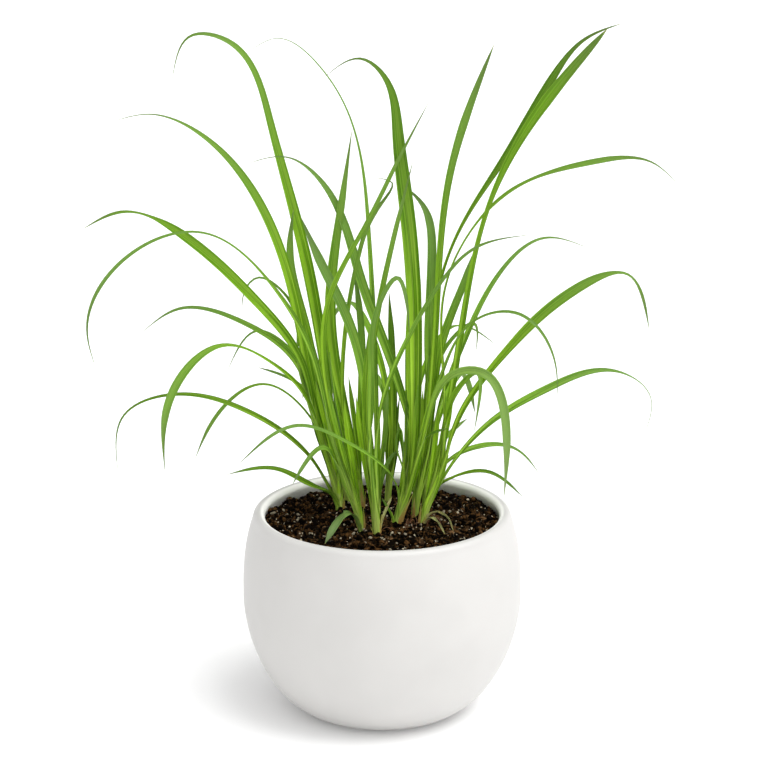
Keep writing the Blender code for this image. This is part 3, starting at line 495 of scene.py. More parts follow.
class LEMONGRASS_PG_stage(bpy.types.PropertyGroup):
    """Strengths and colours of the floor and the lamps, and the camera's place."""
    floor: colour_setting("Floor", "Colour of the floor", (0.93, 0.93, 0.93))
    lift: share_setting("Lift", "Light that the floor itself gives, which softens the shadow", 0.085)
    sky: FloatProperty(name="Sky", description="Strength of the light from all round", default=0.46)
    key: FloatProperty(name="Key", description="Strength of the lamp on the right", default=1.76)
    top: FloatProperty(name="Top", description="Strength of the lamp overhead", default=1.22)
    fill: FloatProperty(name="Fill", description="Strength of the lamp in front", default=0.74)
    elevation: FloatProperty(name="Elevation", description="How far the camera looks down",
                             default=radians(15.5), subtype="ANGLE")
    distance: FloatProperty(name="Distance", description="From the camera to the plant",
                            default=1.57, unit="LENGTH")
    lens: FloatProperty(name="Lens", description="Focal length in millimetres", default=104.55)


# ---------------------------------------------------------------------------------------------------
# Finishes
# ---------------------------------------------------------------------------------------------------
class Field:
    """A socket whose arithmetic adds Math nodes."""

    def __init__(self, finish, socket):
        self.finish = finish
        self.socket = socket

    def math(self, operation, *others):
        """A Math node on this value and the others."""
        inputs = dict(enumerate((self, *others)))
        node = self.finish.node("ShaderNodeMath", {"operation": operation}, inputs)
        return Field(self.finish, node.outputs[0])

    def __add__(self, other):
        return self.math("ADD", other)

    __radd__ = __add__

    def __mul__(self, other):
        return self.math("MULTIPLY", other)

    __rmul__ = __mul__

    def __sub__(self, other):
        return self.math("SUBTRACT", other)

    def __rsub__(self, other):
        return self * -1.0 + other

    def __pow__(self, power):
        return self.math("POWER", power)

    def __abs__(self):
        return self.math("ABSOLUTE")

    def ramp(self, low, high):
        """0 below low, 1 above high, and a soft step between them."""
        node = self.finish.node("ShaderNodeMapRange", {"interpolation_type": "SMOOTHSTEP"},
                                {"Value": self, "From Min": low, "From Max": high})
        return Field(self.finish, node.outputs["Result"])


class Finish:
    """A material, and the one way of adding nodes to it."""

    def __init__(self, name):
        self.material = bpy.data.materials.new(name)
        self.material.use_nodes = True
        self.tree = self.material.node_tree
        self.tree.nodes.clear()

    def node(self, kind, settings=None, inputs=None):
        """A node of the kind, with its settings made first and then its sockets filled."""
        node = self.tree.nodes.new(kind)
        for key, value in (settings or {}).items():
            setattr(node, key, value)
        sockets = {socket.identifier: socket for socket in node.inputs}
        for key, value in (inputs or {}).items():
            socket = sockets[key] if key in sockets else node.inputs[key]
            if isinstance(value, Field):
                self.tree.links.new(value.socket, socket)
            else:
                socket.default_value = value
        return node

    def out(self, node, name):
        """The named output of a node as a field."""
        return Field(self, node.outputs[name])

    def place(self):
        """The place on the piece, in metres."""
        return self.out(self.node("ShaderNodeTexCoord"), "Object")

    def map_parts(self):
        """The two coordinates of the bake map."""
        coordinates = self.out(self.node("ShaderNodeUVMap", {"uv_map": BAKE_MAP}), "UV")
        parts = self.node("ShaderNodeSeparateXYZ", None, {"Vector": coordinates})
        return self.out(parts, "X"), self.out(parts, "Y")

    def vector(self, x, y, z):
        """A vector of three values."""
        return self.out(self.node("ShaderNodeCombineXYZ", None, {"X": x, "Y": y, "Z": z}), "Vector")

    def noise(self, vector, scale, detail=3.0, roughness=0.55):
        """A cloudy pattern from about 0.25 to 0.75."""
        node = self.node("ShaderNodeTexNoise", None, {"Vector": vector, "Scale": scale,
                                                       "Detail": detail, "Roughness": roughness})
        return self.out(node, "Fac")

    def mix(self, factor, first, second):
        """The first colour where the factor is 0 and the second where it is 1."""
        node = self.node("ShaderNodeMix", {"data_type": "RGBA"},
                         {"Factor_Float": factor, "A_Color": first, "B_Color": second})
        return Field(self, node.outputs[2])

    def bump(self, height, distance, strength=1.0):
        """A normal from a height."""
        node = self.node("ShaderNodeBump", None,
                         {"Height": height, "Distance": distance, "Strength": strength})
        return self.out(node, "Normal")

    def principled(self, colour, roughness, normal=None, **constants):
        """The main shader."""
        inputs = {"Base Color": colour, "Roughness": roughness}
        if normal is not None:
            inputs["Normal"] = normal
        inputs.update({key.replace("_", " "): value for key, value in constants.items()})
        return self.out(self.node("ShaderNodeBsdfPrincipled", None, inputs), "BSDF")

    def done(self, shader):
        """Ends the material with the shader."""
        self.node("ShaderNodeOutputMaterial", None, {"Surface": shader})
        return self.material


def rgba(colour, scale=1.0):
    """A colour setting as four numbers, made lighter or darker."""
    return tuple(min(1.0, channel * scale) for channel in colour[:3]) + (1.0,)


def from_to(first, second, share):
    """The value that lies that share of the way from the first to the second."""
    return first + (second - first) * share


def between(first, second, share):
    """A colour between two colour settings."""
    return tuple(from_to(a, b, share) for a, b in zip(first[:3], second[:3]))


def glaze_finish(pot):
    """Matte white glaze with a faint unevenness, painted light on the inner wall under the rim, and bare
    clay under the foot.
    """
    finish = Finish("matte_glaze")
    place = finish.place()
    parts = finish.node("ShaderNodeSeparateXYZ", None, {"Vector": place})
    height = finish.out(parts, "Z")
    cloud = finish.noise(place, 22.0, 2.0)
    grain = finish.noise(place, 900.0, 3.0)
    speck = finish.noise(place, 2600.0, 1.0)
    colour = finish.mix(cloud.ramp(0.35, 0.65), rgba(pot.glaze, 0.985), rgba(pot.glaze, 1.015))
    colour = finish.mix(speck.ramp(0.70, 0.80) * 0.35, colour, rgba(pot.glaze, 0.86))
    radius = (finish.out(parts, "X") ** 2.0 + finish.out(parts, "Y") ** 2.0).math("SQRT")
    # Painted light: the inner wall under the rim takes the brighter inside colour
    inside = (1 - radius.ramp(LIP_RADIUS - 2.5 * MM, LIP_RADIUS)) * height.ramp(*LIT_INSIDE_Z)
    colour = finish.mix(inside, colour, rgba(pot.inside))
    bare = 1 - height.ramp(*BARE_Z)
    colour = finish.mix(bare, colour, rgba(pot.clay))
    roughness = bare * 0.35 + (cloud * 0.10 + grain * 0.06 + (pot.roughness - 0.08))
    normal = finish.bump(grain * 0.6 + cloud * 2.0, 0.05 * MM, 0.6)
    return finish.done(finish.principled(colour, roughness, normal))


def leaf_finish(name, tone, grass, bloom=0.0, fresh=0.72, haze=0.60):
    """A ribbed leaf with lengthwise stripes: pale at its foot, deeper in its middle, with a paler rib
    and a paler underside. Its stripes, rib and rims also carry painted shade and painted highlights,
    and one half is painted darker as shade. Fresh is how young its lower half looks, haze how dull
    its outer half has gone and bloom how far that has worn pale."""
    finish = Finish(name)
    x, along = finish.map_parts()
    twice = x * 2.0
    across = twice.math("FRACT")
    under = twice.math("GREATER_THAN", 1.0)
    off = abs(across - 0.5) * 2.0
    rib = 1 - off.ramp(0.02, 0.13)
    rim = off.ramp(0.84, 1.0)
    near = 1 - along.ramp(0.12, 0.50)
    vein = finish.noise(finish.vector(across * 16.0, along * 1.6, under * 5.0), 1.0, 2.0)
    stripe = finish.noise(finish.vector(across * 5.0 + along * 1.5, along * 2.0, under * 3.0), 1.0, 1.0)
    cloud = finish.noise(finish.place(), 38.0, 2.0)

    young = between(tone, grass.bright, fresh)
    # Shade is the painted shade of the dark stripes; light, rib_light and rim_light are painted highlights
    shade = rgba((tone[0] * 0.32, tone[1] * 0.40, tone[2] * 0.15))
    light = finish.mix(along.ramp(0.30, 0.75), rgba(between(young, grass.gleam, 0.40), 1.60),
                       rgba(between(tone, grass.gleam, 0.30), 1.15))
    rib_light = rgba(between(tone, grass.gleam, 0.40))
    rim_light = rgba(between(tone, grass.gleam, 0.65))
    below = rgba(between(tone, grass.pale, 0.40))
    dull = rgba(between(tone, grass.pale, 0.45))

    # The body of the leaf: young below, and one half painted a little darker than the other, as painted
    # shade on one side of its fold
    colour = finish.mix(along.ramp(SHEATH_SHARE, 0.70), rgba(young, 1.40), rgba(tone, 1.12))
    colour = finish.mix(cloud.ramp(0.38, 0.62) * 0.36, colour, rgba(tone, 0.80))
    colour = finish.mix(across.ramp(0.44, 0.56) * 0.30, colour, rgba(tone, 0.60))
    # Dark and light stripes and veins, which are stronger near the stalk: the leaf's own veins, with painted
    # shade and painted highlights for the shadows and lit edges of overlapping leaves
    colour = finish.mix(stripe.ramp(0.48, 0.58) * (near * 0.20 + 0.62), colour, shade)
    colour = finish.mix((1 - stripe).ramp(0.52, 0.62) * (near * 0.25 + 0.50), colour, light)
    colour = finish.mix(vein.ramp(0.50, 0.58) * (near * 0.35 + 0.42), colour, light)
    colour = finish.mix((1 - vein).ramp(0.54, 0.62) * (near * 0.35 + 0.35), colour, shade)
    # The rib and the rims, paler in their own colour and brightened by painted highlights, and the paler
    # underside
    colour = finish.mix(rib * 0.40, colour, rib_light)
    colour = finish.mix(rim * (near * 0.65 + 0.10), colour, rim_light)
    colour = finish.mix(under * (0.30 - near * 0.22), colour, below)
    # The outer half and the greyish tip
    colour = finish.mix(along.ramp(0.50, 0.95) * haze, colour, dull)
    colour = finish.mix(along.ramp(0.82, 0.99) * 0.60, colour, rgba(grass.tip))
    if bloom:
        colour = finish.mix(along.ramp(0.34, 0.62) * bloom, colour, rgba(grass.pale))
    # The pale foot and the dry point
    foot = finish.mix(vein.ramp(0.44, 0.56) * 0.60, rgba(grass.foot), rgba(tone, 0.7))
    colour = finish.mix(along.ramp(0.03, SHEATH_SHARE * 0.80), foot, colour)
    colour = finish.mix(along.ramp(0.984, 0.999), colour, rgba(grass.dry, 0.8))

    roughness = vein * 0.16 + (grass.roughness - 0.08) + under * 0.10
    normal = finish.bump(vein + rib * 0.8, 0.10 * MM, 0.7)
    face = finish.principled(colour, roughness, normal, Specular_IOR_Level=0.08)
    through = finish.node("ShaderNodeBsdfTranslucent", None,
                          {"Color": rgba(between(tone, grass.through, 0.4))})
    mixed = finish.node("ShaderNodeMixShader", None, {"Fac": grass.glow, "Shader": face,
                                                       "Shader_001": finish.out(through, "BSDF")})
    return finish.done(finish.out(mixed, "Shader"))


def husk_finish(grass):
    """An old sheath: rust at its foot, straw and then olive towards its tip, with dark fibres."""
    finish = Finish("old_sheath")
    x, along = finish.map_parts()
    across = (x * 2.0).math("FRACT")
    fibre = finish.noise(finish.vector(across * 9.0, along * 1.5, 0.0), 1.0, 3.0)
    cloud = finish.noise(finish.place(), 120.0, 2.0)
    colour = finish.mix(along.ramp(0.10, 0.60), rgba(grass.rust), rgba(grass.straw))
    colour = finish.mix(along.ramp(0.45, 0.90), colour, rgba(grass.olive))
    colour = finish.mix(fibre.ramp(0.42, 0.62) * 0.55, colour, rgba(grass.rust, 0.55))
    colour = finish.mix(cloud.ramp(0.45, 0.65) * 0.4, colour, rgba(grass.worn))
    return finish.done(finish.principled(colour, 0.6, finish.bump(fibre, 0.12 * MM, 0.8),
                                         Specular_IOR_Level=0.2))


def dry_finish(name, colour, grass):
    """A withered, fibrous leaf."""
    finish = Finish(name)
    x, along = finish.map_parts()
    across = (x * 2.0).math("FRACT")
    streak = finish.noise(finish.vector(across * 22.0, along * 4.0, 0.0), 1.0, 3.0)
    cloud = finish.noise(finish.place(), 160.0, 2.0)
    shade = finish.mix(streak.ramp(0.36, 0.64), rgba(colour, 0.55), rgba(colour, 1.15))
    shade = finish.mix(cloud.ramp(0.45, 0.70) * 0.6, shade, rgba(between(colour, grass.rust, 0.6)))
    normal = finish.bump(streak, 0.15 * MM, 0.8)
    return finish.done(finish.principled(shade, 0.78, normal))


def crumb_finish(name, colour, light, scale, roughness):
    """Moist crumbs, each spot with its own shade."""
    finish = Finish(name)
    place = finish.place()
    patch = finish.noise(place, scale, 2.0)
    fine = finish.noise(place, scale * 7.0, 4.0)
    shade = finish.mix(patch.ramp(0.48, 0.68), rgba(colour, 0.40), rgba(colour, light))
    shade = finish.mix(fine.ramp(0.40, 0.70) * 0.5, shade, rgba(colour, 0.45))
    normal = finish.bump(fine, 0.25 * MM, 0.9)
    return finish.done(finish.principled(shade, fine * 0.3 + roughness, normal,
                                         Specular_IOR_Level=0.03))


def floor_finish(stage):
    """A plain pale floor."""
    finish = Finish("pale_floor")
    cloud = finish.noise(finish.place(), 3.0, 2.0)
    colour = finish.mix(cloud, rgba(stage.floor, 0.995), rgba(stage.floor))
    return finish.done(finish.principled(colour, 0.9, None, Emission_Color=(1.0, 1.0, 1.0, 1.0),
                                         Emission_Strength=stage.lift))


# ---------------------------------------------------------------------------------------------------
# Shared forms
# ---------------------------------------------------------------------------------------------------
def unit(vector):
    """The vector or vectors at length 1."""
    vector = np.asarray(vector, dtype=float)
    return vector / np.linalg.norm(vector, axis=-1, keepdims=True)


def smooth_step(value):
    """A soft ramp from 0 to 1."""
    value = np.clip(value, 0, 1)
    return value * value * (3 - 2 * value)


def smooth_route(points, step):
    """Samples about a step apart of the natural cubic spline through the points."""
    points = np.array(points, dtype=float)
    steps = np.linalg.norm(np.diff(points, axis=0), axis=1)
    knots = np.concatenate([[0.0], np.cumsum(steps)])
    size = len(points)
    system = np.eye(size)
    bend = np.zeros((size, 3))
    for i in range(1, size - 1):
        before = knots[i] - knots[i - 1]
        after = knots[i + 1] - knots[i]
        system[i, i - 1:i + 2] = (before, 2 * (before + after), after)
        bend[i] = 6 * ((points[i + 1] - points[i]) / after - (points[i] - points[i - 1]) / before)
    second = np.linalg.solve(system, bend)
    samples = np.linspace(0, knots[-1], max(LEAST_STATIONS, int(knots[-1] / step) + 1))
    spans = np.clip(np.searchsorted(knots, samples, side="right") - 1, 0, size - 2)
    width = (knots[spans + 1] - knots[spans])[:, None]
    right = (samples - knots[spans])[:, None] / width
    left = 1 - right
    chord = left * points[spans] + right * points[spans + 1]
    sag = (left ** 3 - left) * second[spans] + (right ** 3 - right) * second[spans + 1]
    return chord + sag * width ** 2 / 6


def new_piece(name, mesh, material, slot, *nodes):
    """A piece that rides on the plant and stands for the CAD nodes."""
    mesh.materials.append(material)
    piece = bpy.data.objects.new(name, mesh)
    bpy.context.scene.collection.objects.link(piece)
    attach(piece, BODY)
    if nodes:
        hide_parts(*nodes)
    return piece


def finish_mesh(mesh):
    """Smooth shading with sharp edges kept."""
    mesh.shade_smooth()
    mesh.set_sharp_from_angle(angle=SHARP)
    return mesh


def mesh_of_form(name, form):
    """The finished mesh of a closed form, which is freed."""
    bmesh.ops.recalc_face_normals(form, faces=form.faces)
    mesh = bpy.data.meshes.new(name)
    form.to_mesh(mesh)
    form.free()
    return finish_mesh(mesh)


def mesh_of_points(name, points, faces):
    """A mesh of points and faces."""
    mesh = bpy.data.meshes.new(name)
    mesh.from_pydata(points, [], faces)
    mesh.update()
    return mesh


def tube_faces(count, size):
    """The faces of a tube of count rings with size points each, closed at both ends."""
    faces = []
    for i in range(count - 1):
        for j in range(size):
            k = (j + 1) % size
            faces.append((i * size + j, i * size + k, (i + 1) * size + k, (i + 1) * size + j))
    faces.append(tuple(range(size))[::-1])
    faces.append(tuple(range((count - 1) * size, count * size)))
    return faces


# ---------------------------------------------------------------------------------------------------
# Pot
# ---------------------------------------------------------------------------------------------------
def pot_side(foot_radius, low_z, radius, widest_z, lip_radius, lip_z):
    """The line of a pot wall from its foot up to its lip, as (radius, z) points."""
    line = []
    for i in range(BELLY_STEPS + 1):
        angle = pi / 2 * i / BELLY_STEPS
        line.append((foot_radius + (radius - foot_radius) * sin(angle) ** BELLY_POWER,
                     low_z + (widest_z - low_z) * (1 - cos(angle) ** BELLY_POWER)))
    span = (1 - (lip_radius / radius) ** SHOULDER_POWER) ** (1 / SHOULDER_POWER)
    for i in range(1, SHOULDER_STEPS + 1):
        rise = i / SHOULDER_STEPS
        line.append((radius * (1 - (rise * span) ** SHOULDER_POWER) ** (1 / SHOULDER_POWER),
                     widest_z + (lip_z - widest_z) * rise))
    return line


def pot_profile():
    """The pot from the middle of its inner floor, over its lip, to the middle of its foot."""
    lip_z = POT_HEIGHT - LIP_ROUND
    outer = pot_side(POT_FOOT_RADIUS, 0.0, POT_RADIUS, POT_WIDEST_Z, LIP_RADIUS + LIP_ROUND, lip_z)
    inner = pot_side(POT_FOOT_RADIUS - POT_WALL / 2, POT_FLOOR, POT_RADIUS - POT_WALL,
                     POT_WIDEST_Z, LIP_RADIUS - LIP_ROUND, lip_z)
    lip = []
    for i in range(1, LIP_STEPS):
        angle = pi - pi * i / LIP_STEPS
        lip.append((LIP_RADIUS + LIP_ROUND * cos(angle), lip_z + LIP_ROUND * sin(angle)))
    foot = []
    for i in range(FOOT_STEPS + 1):
        angle = pi / 2 * i / FOOT_STEPS
        foot.append((POT_FOOT_RADIUS - FOOT_ROUND * (1 - cos(angle)),
                     FOOT_ROUND * (1 - sin(angle))))
    above = [point for point in outer[::-1] if point[1] > FOOT_ROUND]
    return [(0.0, POT_FLOOR)] + inner + lip + above + foot + [(0.0, 0.0)]


def turned_mesh(name, profile, steps):
    """A closed turned mesh of a profile that starts and ends on the axis."""
    angles = 2 * pi * np.arange(steps) / steps
    circle = np.stack([np.cos(angles), np.sin(angles)], axis=1)
    form = bmesh.new()
    rows = []
    for radius, z in profile:
        if radius == 0.0:
            rows.append([form.verts.new((0.0, 0.0, z))])
        else:
            rows.append([form.verts.new((radius * x, radius * y, z)) for x, y in circle])
    for lower, upper in zip(rows, rows[1:]):
        for i in range(steps):
            j = (i + 1) % steps
            if len(lower) == 1:
                form.faces.new((lower[0], upper[i], upper[j]))
            elif len(upper) == 1:
                form.faces.new((lower[i], upper[0], lower[j]))
            else:
                form.faces.new((lower[i], upper[i], upper[j], lower[j]))
    return mesh_of_form(name, form)


class LEMONGRASS_OT_pot(bpy.types.Operator):
    """Turn the pot and glaze it"""
    bl_idname = "lemongrass.pot"
    bl_label = "Make pot"

    def execute(self, context):
        pot = context.scene.lemongrass_pot
        mesh = turned_mesh("glazed_pot", pot_profile(), pot.turn_steps)
        new_piece("glazed_pot", mesh, glaze_finish(pot), "ceramic", "pot")
        return {"FINISHED"}


# ---------------------------------------------------------------------------------------------------
# Potting mix
# ---------------------------------------------------------------------------------------------------
class Waves:
    """A smooth random height made of waves in many directions."""

    def __init__(self, rng, lengths):
        self.parts = []
        for length in lengths:
            for _ in range(WAVES_EACH):
                heading = rng.uniform(0, 2 * pi)
                wave = 2 * pi / (length * rng.uniform(0.75, 1.35))
                self.parts.append((wave * cos(heading), wave * sin(heading),
                                   rng.uniform(0, 2 * pi), length))
        self.total = sum(part[3] for part in self.parts)

    def at(self, x, y):
        """The height at (x, y), from about -0.5 to 0.5."""
        height = 0.0
        for across, up, phase, length in self.parts:
            height = height + length * np.sin(across * x + up * y + phase)
        return height / self.total


def bed_height(mix, waves, x, y):
    """Height of the bed's surface."""
    radius = np.hypot(x, y) / BED_RADIUS
    mound = BED_MOUND * (1 - radius ** 2)
    fall = BED_FALL * smooth_step((radius - BED_EDGE) / (1 - BED_EDGE))
    return SOIL_Z + mound + mix.relief * waves.at(x, y) - fall


def bed_mesh(mix, waves, rng):
    """The lumpy top of the mix, closed below by the inside of the pot."""
    radii = BED_RADIUS * np.sqrt(np.linspace(0, 1, BED_RINGS + 1)[1:])
    angles = 2 * pi * np.arange(BED_SPOKES) / BED_SPOKES
    form = bmesh.new()
    middle = form.verts.new((0.0, 0.0, float(bed_height(mix, waves, 0.0, 0.0))))
    rows = []
    for radius in radii:
        x = radius * np.cos(angles)
        y = radius * np.sin(angles)
        z = bed_height(mix, waves, x, y) + rng.uniform(-BED_GRIT, BED_GRIT, BED_SPOKES)
        rows.append([form.verts.new(point) for point in zip(x, y, z)])
    floor_z = SOIL_Z - BED_DEPTH
    below = [form.verts.new((BED_RADIUS * cos(a), BED_RADIUS * sin(a), floor_z)) for a in angles]
    rows.append(below)
    for i in range(BED_SPOKES):
        form.faces.new((middle, rows[0][i], rows[0][(i + 1) % BED_SPOKES]))
    for inner, outer in zip(rows, rows[1:]):
        for i in range(BED_SPOKES):
            j = (i + 1) % BED_SPOKES
            form.faces.new((inner[i], outer[i], outer[j], inner[j]))
    form.faces.new(below[::-1])
    return mesh_of_form("mix_bed", form)


def lump_forms(rng, count, subdivisions, rough):
    """A few uneven lumps about 1 across, as (points, faces)."""
    forms = []
    for _ in range(count):
        form = bmesh.new()
        bmesh.ops.create_icosphere(form, subdivisions=subdivisions, radius=0.5)
        points = np.array([vert.co[:] for vert in form.verts])
        faces = np.array([[vert.index for vert in face.verts] for face in form.faces])
        form.free()
        for _ in range(LUMP_DENTS):
            heading = unit(rng.normal(size=3))
            wave = np.sin(points @ heading * rng.uniform(4, 8) + rng.uniform(0, 6))
            points = points * (1 + rough * wave)[:, None]
        forms.append((points, faces))
    return forms


def turn_matrix(rng, tilt):
    """A random turn about the upright axis and a tilt of up to tilt."""
    spin = Matrix.Rotation(rng.uniform(0, 2 * pi), 3, "Z")
    lean = Matrix.Rotation(rng.uniform(-tilt, tilt), 3, "X")
    roll = Matrix.Rotation(rng.uniform(-tilt, tilt), 3, "Y")
    return np.array(spin @ lean @ roll)


def scattered_mesh(name, forms, count, mix, waves, rng, sizes, flatness, sink, tilt):
    """Many lumps, flakes or grains that lie on the bed, as one mesh. Sizes is their least and greatest
    size in mm, flatness the same for height over width, sink the part of each that is under the top
    and tilt its greatest tilt in radians."""
    least, greatest = (size * MM for size in sizes)
    points = []
    faces = []
    total = 0
    for _ in range(count):
        shape, shape_faces = forms[rng.integers(len(forms))]
        size = from_to(least, greatest, rng.uniform() ** SMALL_POWER)
        stretch = np.array([size * rng.uniform(0.8, 1.5), size, size * rng.uniform(*flatness)])
        radius = (BED_RADIUS - size * 0.5) * np.sqrt(rng.uniform())
        heading = rng.uniform(0, 2 * pi)
        x = radius * cos(heading)
        y = radius * sin(heading)
        z = float(bed_height(mix, waves, x, y)) + stretch[2] * (0.5 - sink)
        points.append((shape * stretch) @ turn_matrix(rng, tilt).T + np.array((x, y, z)))
        faces.append(shape_faces + total)
        total += len(shape)
    return mesh_of_points(name, np.concatenate(points), np.concatenate(faces).tolist())


class LEMONGRASS_OT_mix(bpy.types.Operator):
    """Lay the bed of potting mix with its crumbs, bark flakes and perlite grains"""
    bl_idname = "lemongrass.mix"
    bl_label = "Make potting mix"

    def execute(self, context):
        mix = context.scene.lemongrass_mix
        rng = np.random.default_rng(mix.seed)
        waves = Waves(rng, WAVE_LENGTHS)
        peat = crumb_finish("moist_peat", mix.peat, 19.0, 260.0, 0.62)
        bark = crumb_finish("bark", mix.bark, 2.6, 140.0, 0.55)
        pale = crumb_finish("perlite", mix.grain, 1.25, 320.0, 0.65)
        new_piece("mix_bed", bed_mesh(mix, waves, rng), peat, "potting_mix", "soil")
        # Piece, finish, count, its forms (how many, fineness and roughness), sizes, flatness, sink, tilt
        bits = (
            ("mix_crumbs", peat, mix.crumbs // 5, (8, 2, 0.14), (2.0, 5.5), (0.6, 1.0), 0.22, 1.0),
            ("mix_small_crumbs", peat, mix.crumbs, (8, 1, 0.16), (0.8, 2.6), (0.6, 1.0), 0.25, 1.2),
            ("bark_flakes", bark, mix.flakes, (6, 2, 0.20), (1.6, 5.0), (0.22, 0.45), 0.15, 0.7),
            ("perlite_grains", pale, mix.grains, (6, 2, 0.12), (0.5, 2.5), (0.7, 1.0), 0.10, 1.2),
        )
        for name, finish, count, form, *lie in bits:
            mesh = scattered_mesh(name, lump_forms(rng, *form), count, mix, waves, rng, *lie)
            # The plainest forms keep their flat faces
            if form[1] > 1:
                finish_mesh(mesh)
            new_piece(name, mesh, finish, "potting_mix")
        return {"FINISHED"}


# ---------------------------------------------------------------------------------------------------
# Stalks and leaves
# ---------------------------------------------------------------------------------------------------
def eased(places, values):
    """Values given at even places from 0 to 1, read at other places with their corners rounded."""
    knots = np.linspace(0, 1, len(values))
    offsets = np.linspace(-0.5, 0.5, EASE_SAMPLES) / (len(values) - 1)
    return np.mean([np.interp(places + offset, knots, values) for offset in offsets], axis=0)


def blade_half(places, widths):
    """Half width of a blade at places from 0, its start, to 1, its tip."""
    taper = np.clip((1 - places) / TIP_SHARE, 0, 1) ** TIP_POWER
    least = TIP_HALF * np.clip((1 - places) / TIP_POINT, POINT_LEAST, 1)
    return np.maximum(eased(places, widths) * WIDER * MM / 2 * taper, least)


def stem_half(width, height):
    """Half thickness in metres of a stalk with a foot of that width in mm, at a height over the mix."""
    return width / 2 * MM * from_to(1, SWELL, smooth_step(height / SWELL_LENGTH))


def stalk_middle(foot, points, step=MIDDLE_STEP):
    """A stalk's middle line, from its buried end to the tip of its blade, in metres."""
    start = [(*foot, (SOIL_Z - BURIED) / CM), (*foot, (SOIL_Z - UNDER_SOIL) / CM)]
    return smooth_route(np.array(start + points) * CM, step)


def place_at(middle, z):
    """The place on a rising middle line at height z."""
    rising = middle[:np.argmax(middle[:, 2]) + 1]
    return np.array([np.interp(z, rising[:, 2], rising[:, 0]),
                     np.interp(z, rising[:, 2], rising[:, 1]), z])


def section(wrap, fold):
    """Places, heights and slopes across a blade 1 in half width. Wrap closes it round its stalk, and
    fold creases it at its midrib."""
    fine = np.linspace(-1, 1, SECTION_STEPS)
    slope = wrap * fine + fold * np.tanh(fine / CREASE)
    step = fine[1] - fine[0]
    out = np.concatenate([[0.0], np.cumsum((np.cos(slope[1:]) + np.cos(slope[:-1])) / 2 * step)])
    rise = np.concatenate([[0.0], np.cumsum((np.sin(slope[1:]) + np.sin(slope[:-1])) / 2 * step)])
    middle = SECTION_STEPS // 2
    return (np.interp(ACROSS, fine, out - out[middle]), np.interp(ACROSS, fine, rise - rise[middle]),
            np.interp(ACROSS, fine, slope))


def blade_normals(route, lean, sheath_normal=None, turned=None):
    """The direction that the upper side faces at each station. Lean goes from 0, its flat side to
    the front, to 90, its upper side up. A sheath faces its stalk, and turned says how far the blade
    has left that."""
    along = unit(np.gradient(route, axis=0))
    heading = route[-1] - route[0]
    heading[2] = 0.0
    side = np.cross((0.0, 0.0, 1.0), unit(heading))
    upper = unit(np.cross(along, side))
    front = unit(np.cross(upper, along))
    front = front * np.where(front[:, 1:2] > 0, -1.0, 1.0)[len(front) // 2]
    places = np.linspace(0, 1, len(route))
    flat = np.unwrap(np.arctan2(-upper[:, 1], -front[:, 1]))
    flat = flat + (pi if flat[len(flat) // 2] < -pi / 4 else 0.0)
    angle = from_to(flat, pi / 2, eased(places, np.maximum(lean, LEAST_LEAN)) / 90)
    if sheath_normal is not None:
        base = np.arctan2(upper @ sheath_normal, front @ sheath_normal)
        difference = (angle - base + pi) % (2 * pi) - pi
        angle = base + difference * turned
    return along, unit(front * np.cos(angle)[:, None] + upper * np.sin(angle)[:, None])


def blade_mesh(name, route, frames, half_width, wrap, fold, thickness, share):
    """A thin closed blade. Share is each station's place along the finish."""
    along, normals = frames
    sides = unit(np.cross(along, normals))
    across = np.array(ACROSS)
    keel = 1 + KEEL * np.exp(-(across / KEEL_WIDTH) ** 2) - EDGE_THIN * across ** 6
    rings = []
    for i in range(len(route)):
        x, rise, slope = section(wrap[i], fold[i])
        middle = route[i] + half_width[i] * (np.outer(x, sides[i]) + np.outer(rise, normals[i]))
        local = np.outer(-np.sin(slope), sides[i]) + np.outer(np.cos(slope), normals[i])
        shift = local * (thickness[i] * keel)[:, None]
        rings.append(np.concatenate([middle + shift * ABOVE, (middle - shift * (1 - ABOVE))[::-1]]))
    size = 2 * len(ACROSS)
    mesh = mesh_of_points(name, np.concatenate(rings), tube_faces(len(rings), size))
    first = (across + 1) / 4
    columns = np.concatenate([first, first + 0.5])
    places = []
    for i in range(len(rings) - 1):
        for j in range(size):
            right = columns[j + 1] if j + 1 < size else 1.0
            places.extend(((columns[j], share[i]), (right, share[i]), (right, share[i + 1]),
                           (columns[j], share[i + 1])))
    places.extend((column, share[0]) for column in columns[::-1])
    places.extend((column, share[-1]) for column in columns)
    layer = mesh.uv_layers.new(name=BAKE_MAP)
    layer.uv.foreach_set("vector", np.array(places, dtype=np.float32).ravel())
    return finish_mesh(mesh)


def distances(route):
    """Distance along the route to each of its points."""
    return np.concatenate([[0.0], np.cumsum(np.linalg.norm(np.diff(route, axis=0), axis=1))])


def shares(distance, sheath_length):
    """Place of each station along the finish, the sheath first and then the blade, and along the
    blade alone."""
    blade = (distance - sheath_length) / (distance[-1] - sheath_length)
    places = np.clip(blade, 0, 1)
    share = np.where(blade < 0, distance / sheath_length * SHEATH_SHARE,
                     from_to(SHEATH_SHARE, 1, places))
    return share, places


def shoot_mesh(name, foot, thick, widths, lean, points, layers, grass):
    """A stalk's innermost leaf: rolled tight in its sheaths, then open."""
    route = stalk_middle(foot, points, STEP)
    distance = distances(route)
    share, _ = shares(distance, BURIED + OPENS_OVER)
    over = distance - BURIED
    places = np.clip(over / over[-1], 0, 1)
    opened = smooth_step((over - OPENS_FROM) / OPENS_OVER)
    wrap = from_to(ROLLED, BLADE_WRAP, opened)
    fold = opened * from_to(grass.fold, grass.flat, smooth_step(places / UNFOLDED))
    core = np.maximum(stem_half(thick, over) - LAYER * layers, CORE_LEAST)
    half_width = from_to(core * ROLLED, blade_half(places, widths), opened)
    thickness = from_to(grass.sheath, grass.thickness, opened) * (1 - TIP_THIN * places ** 2)
    frames = blade_normals(route, lean)
    centre = route - frames[1] * (core * (1 - opened))[:, None]
    return blade_mesh(name, centre, frames, half_width, wrap, fold, thickness, share)


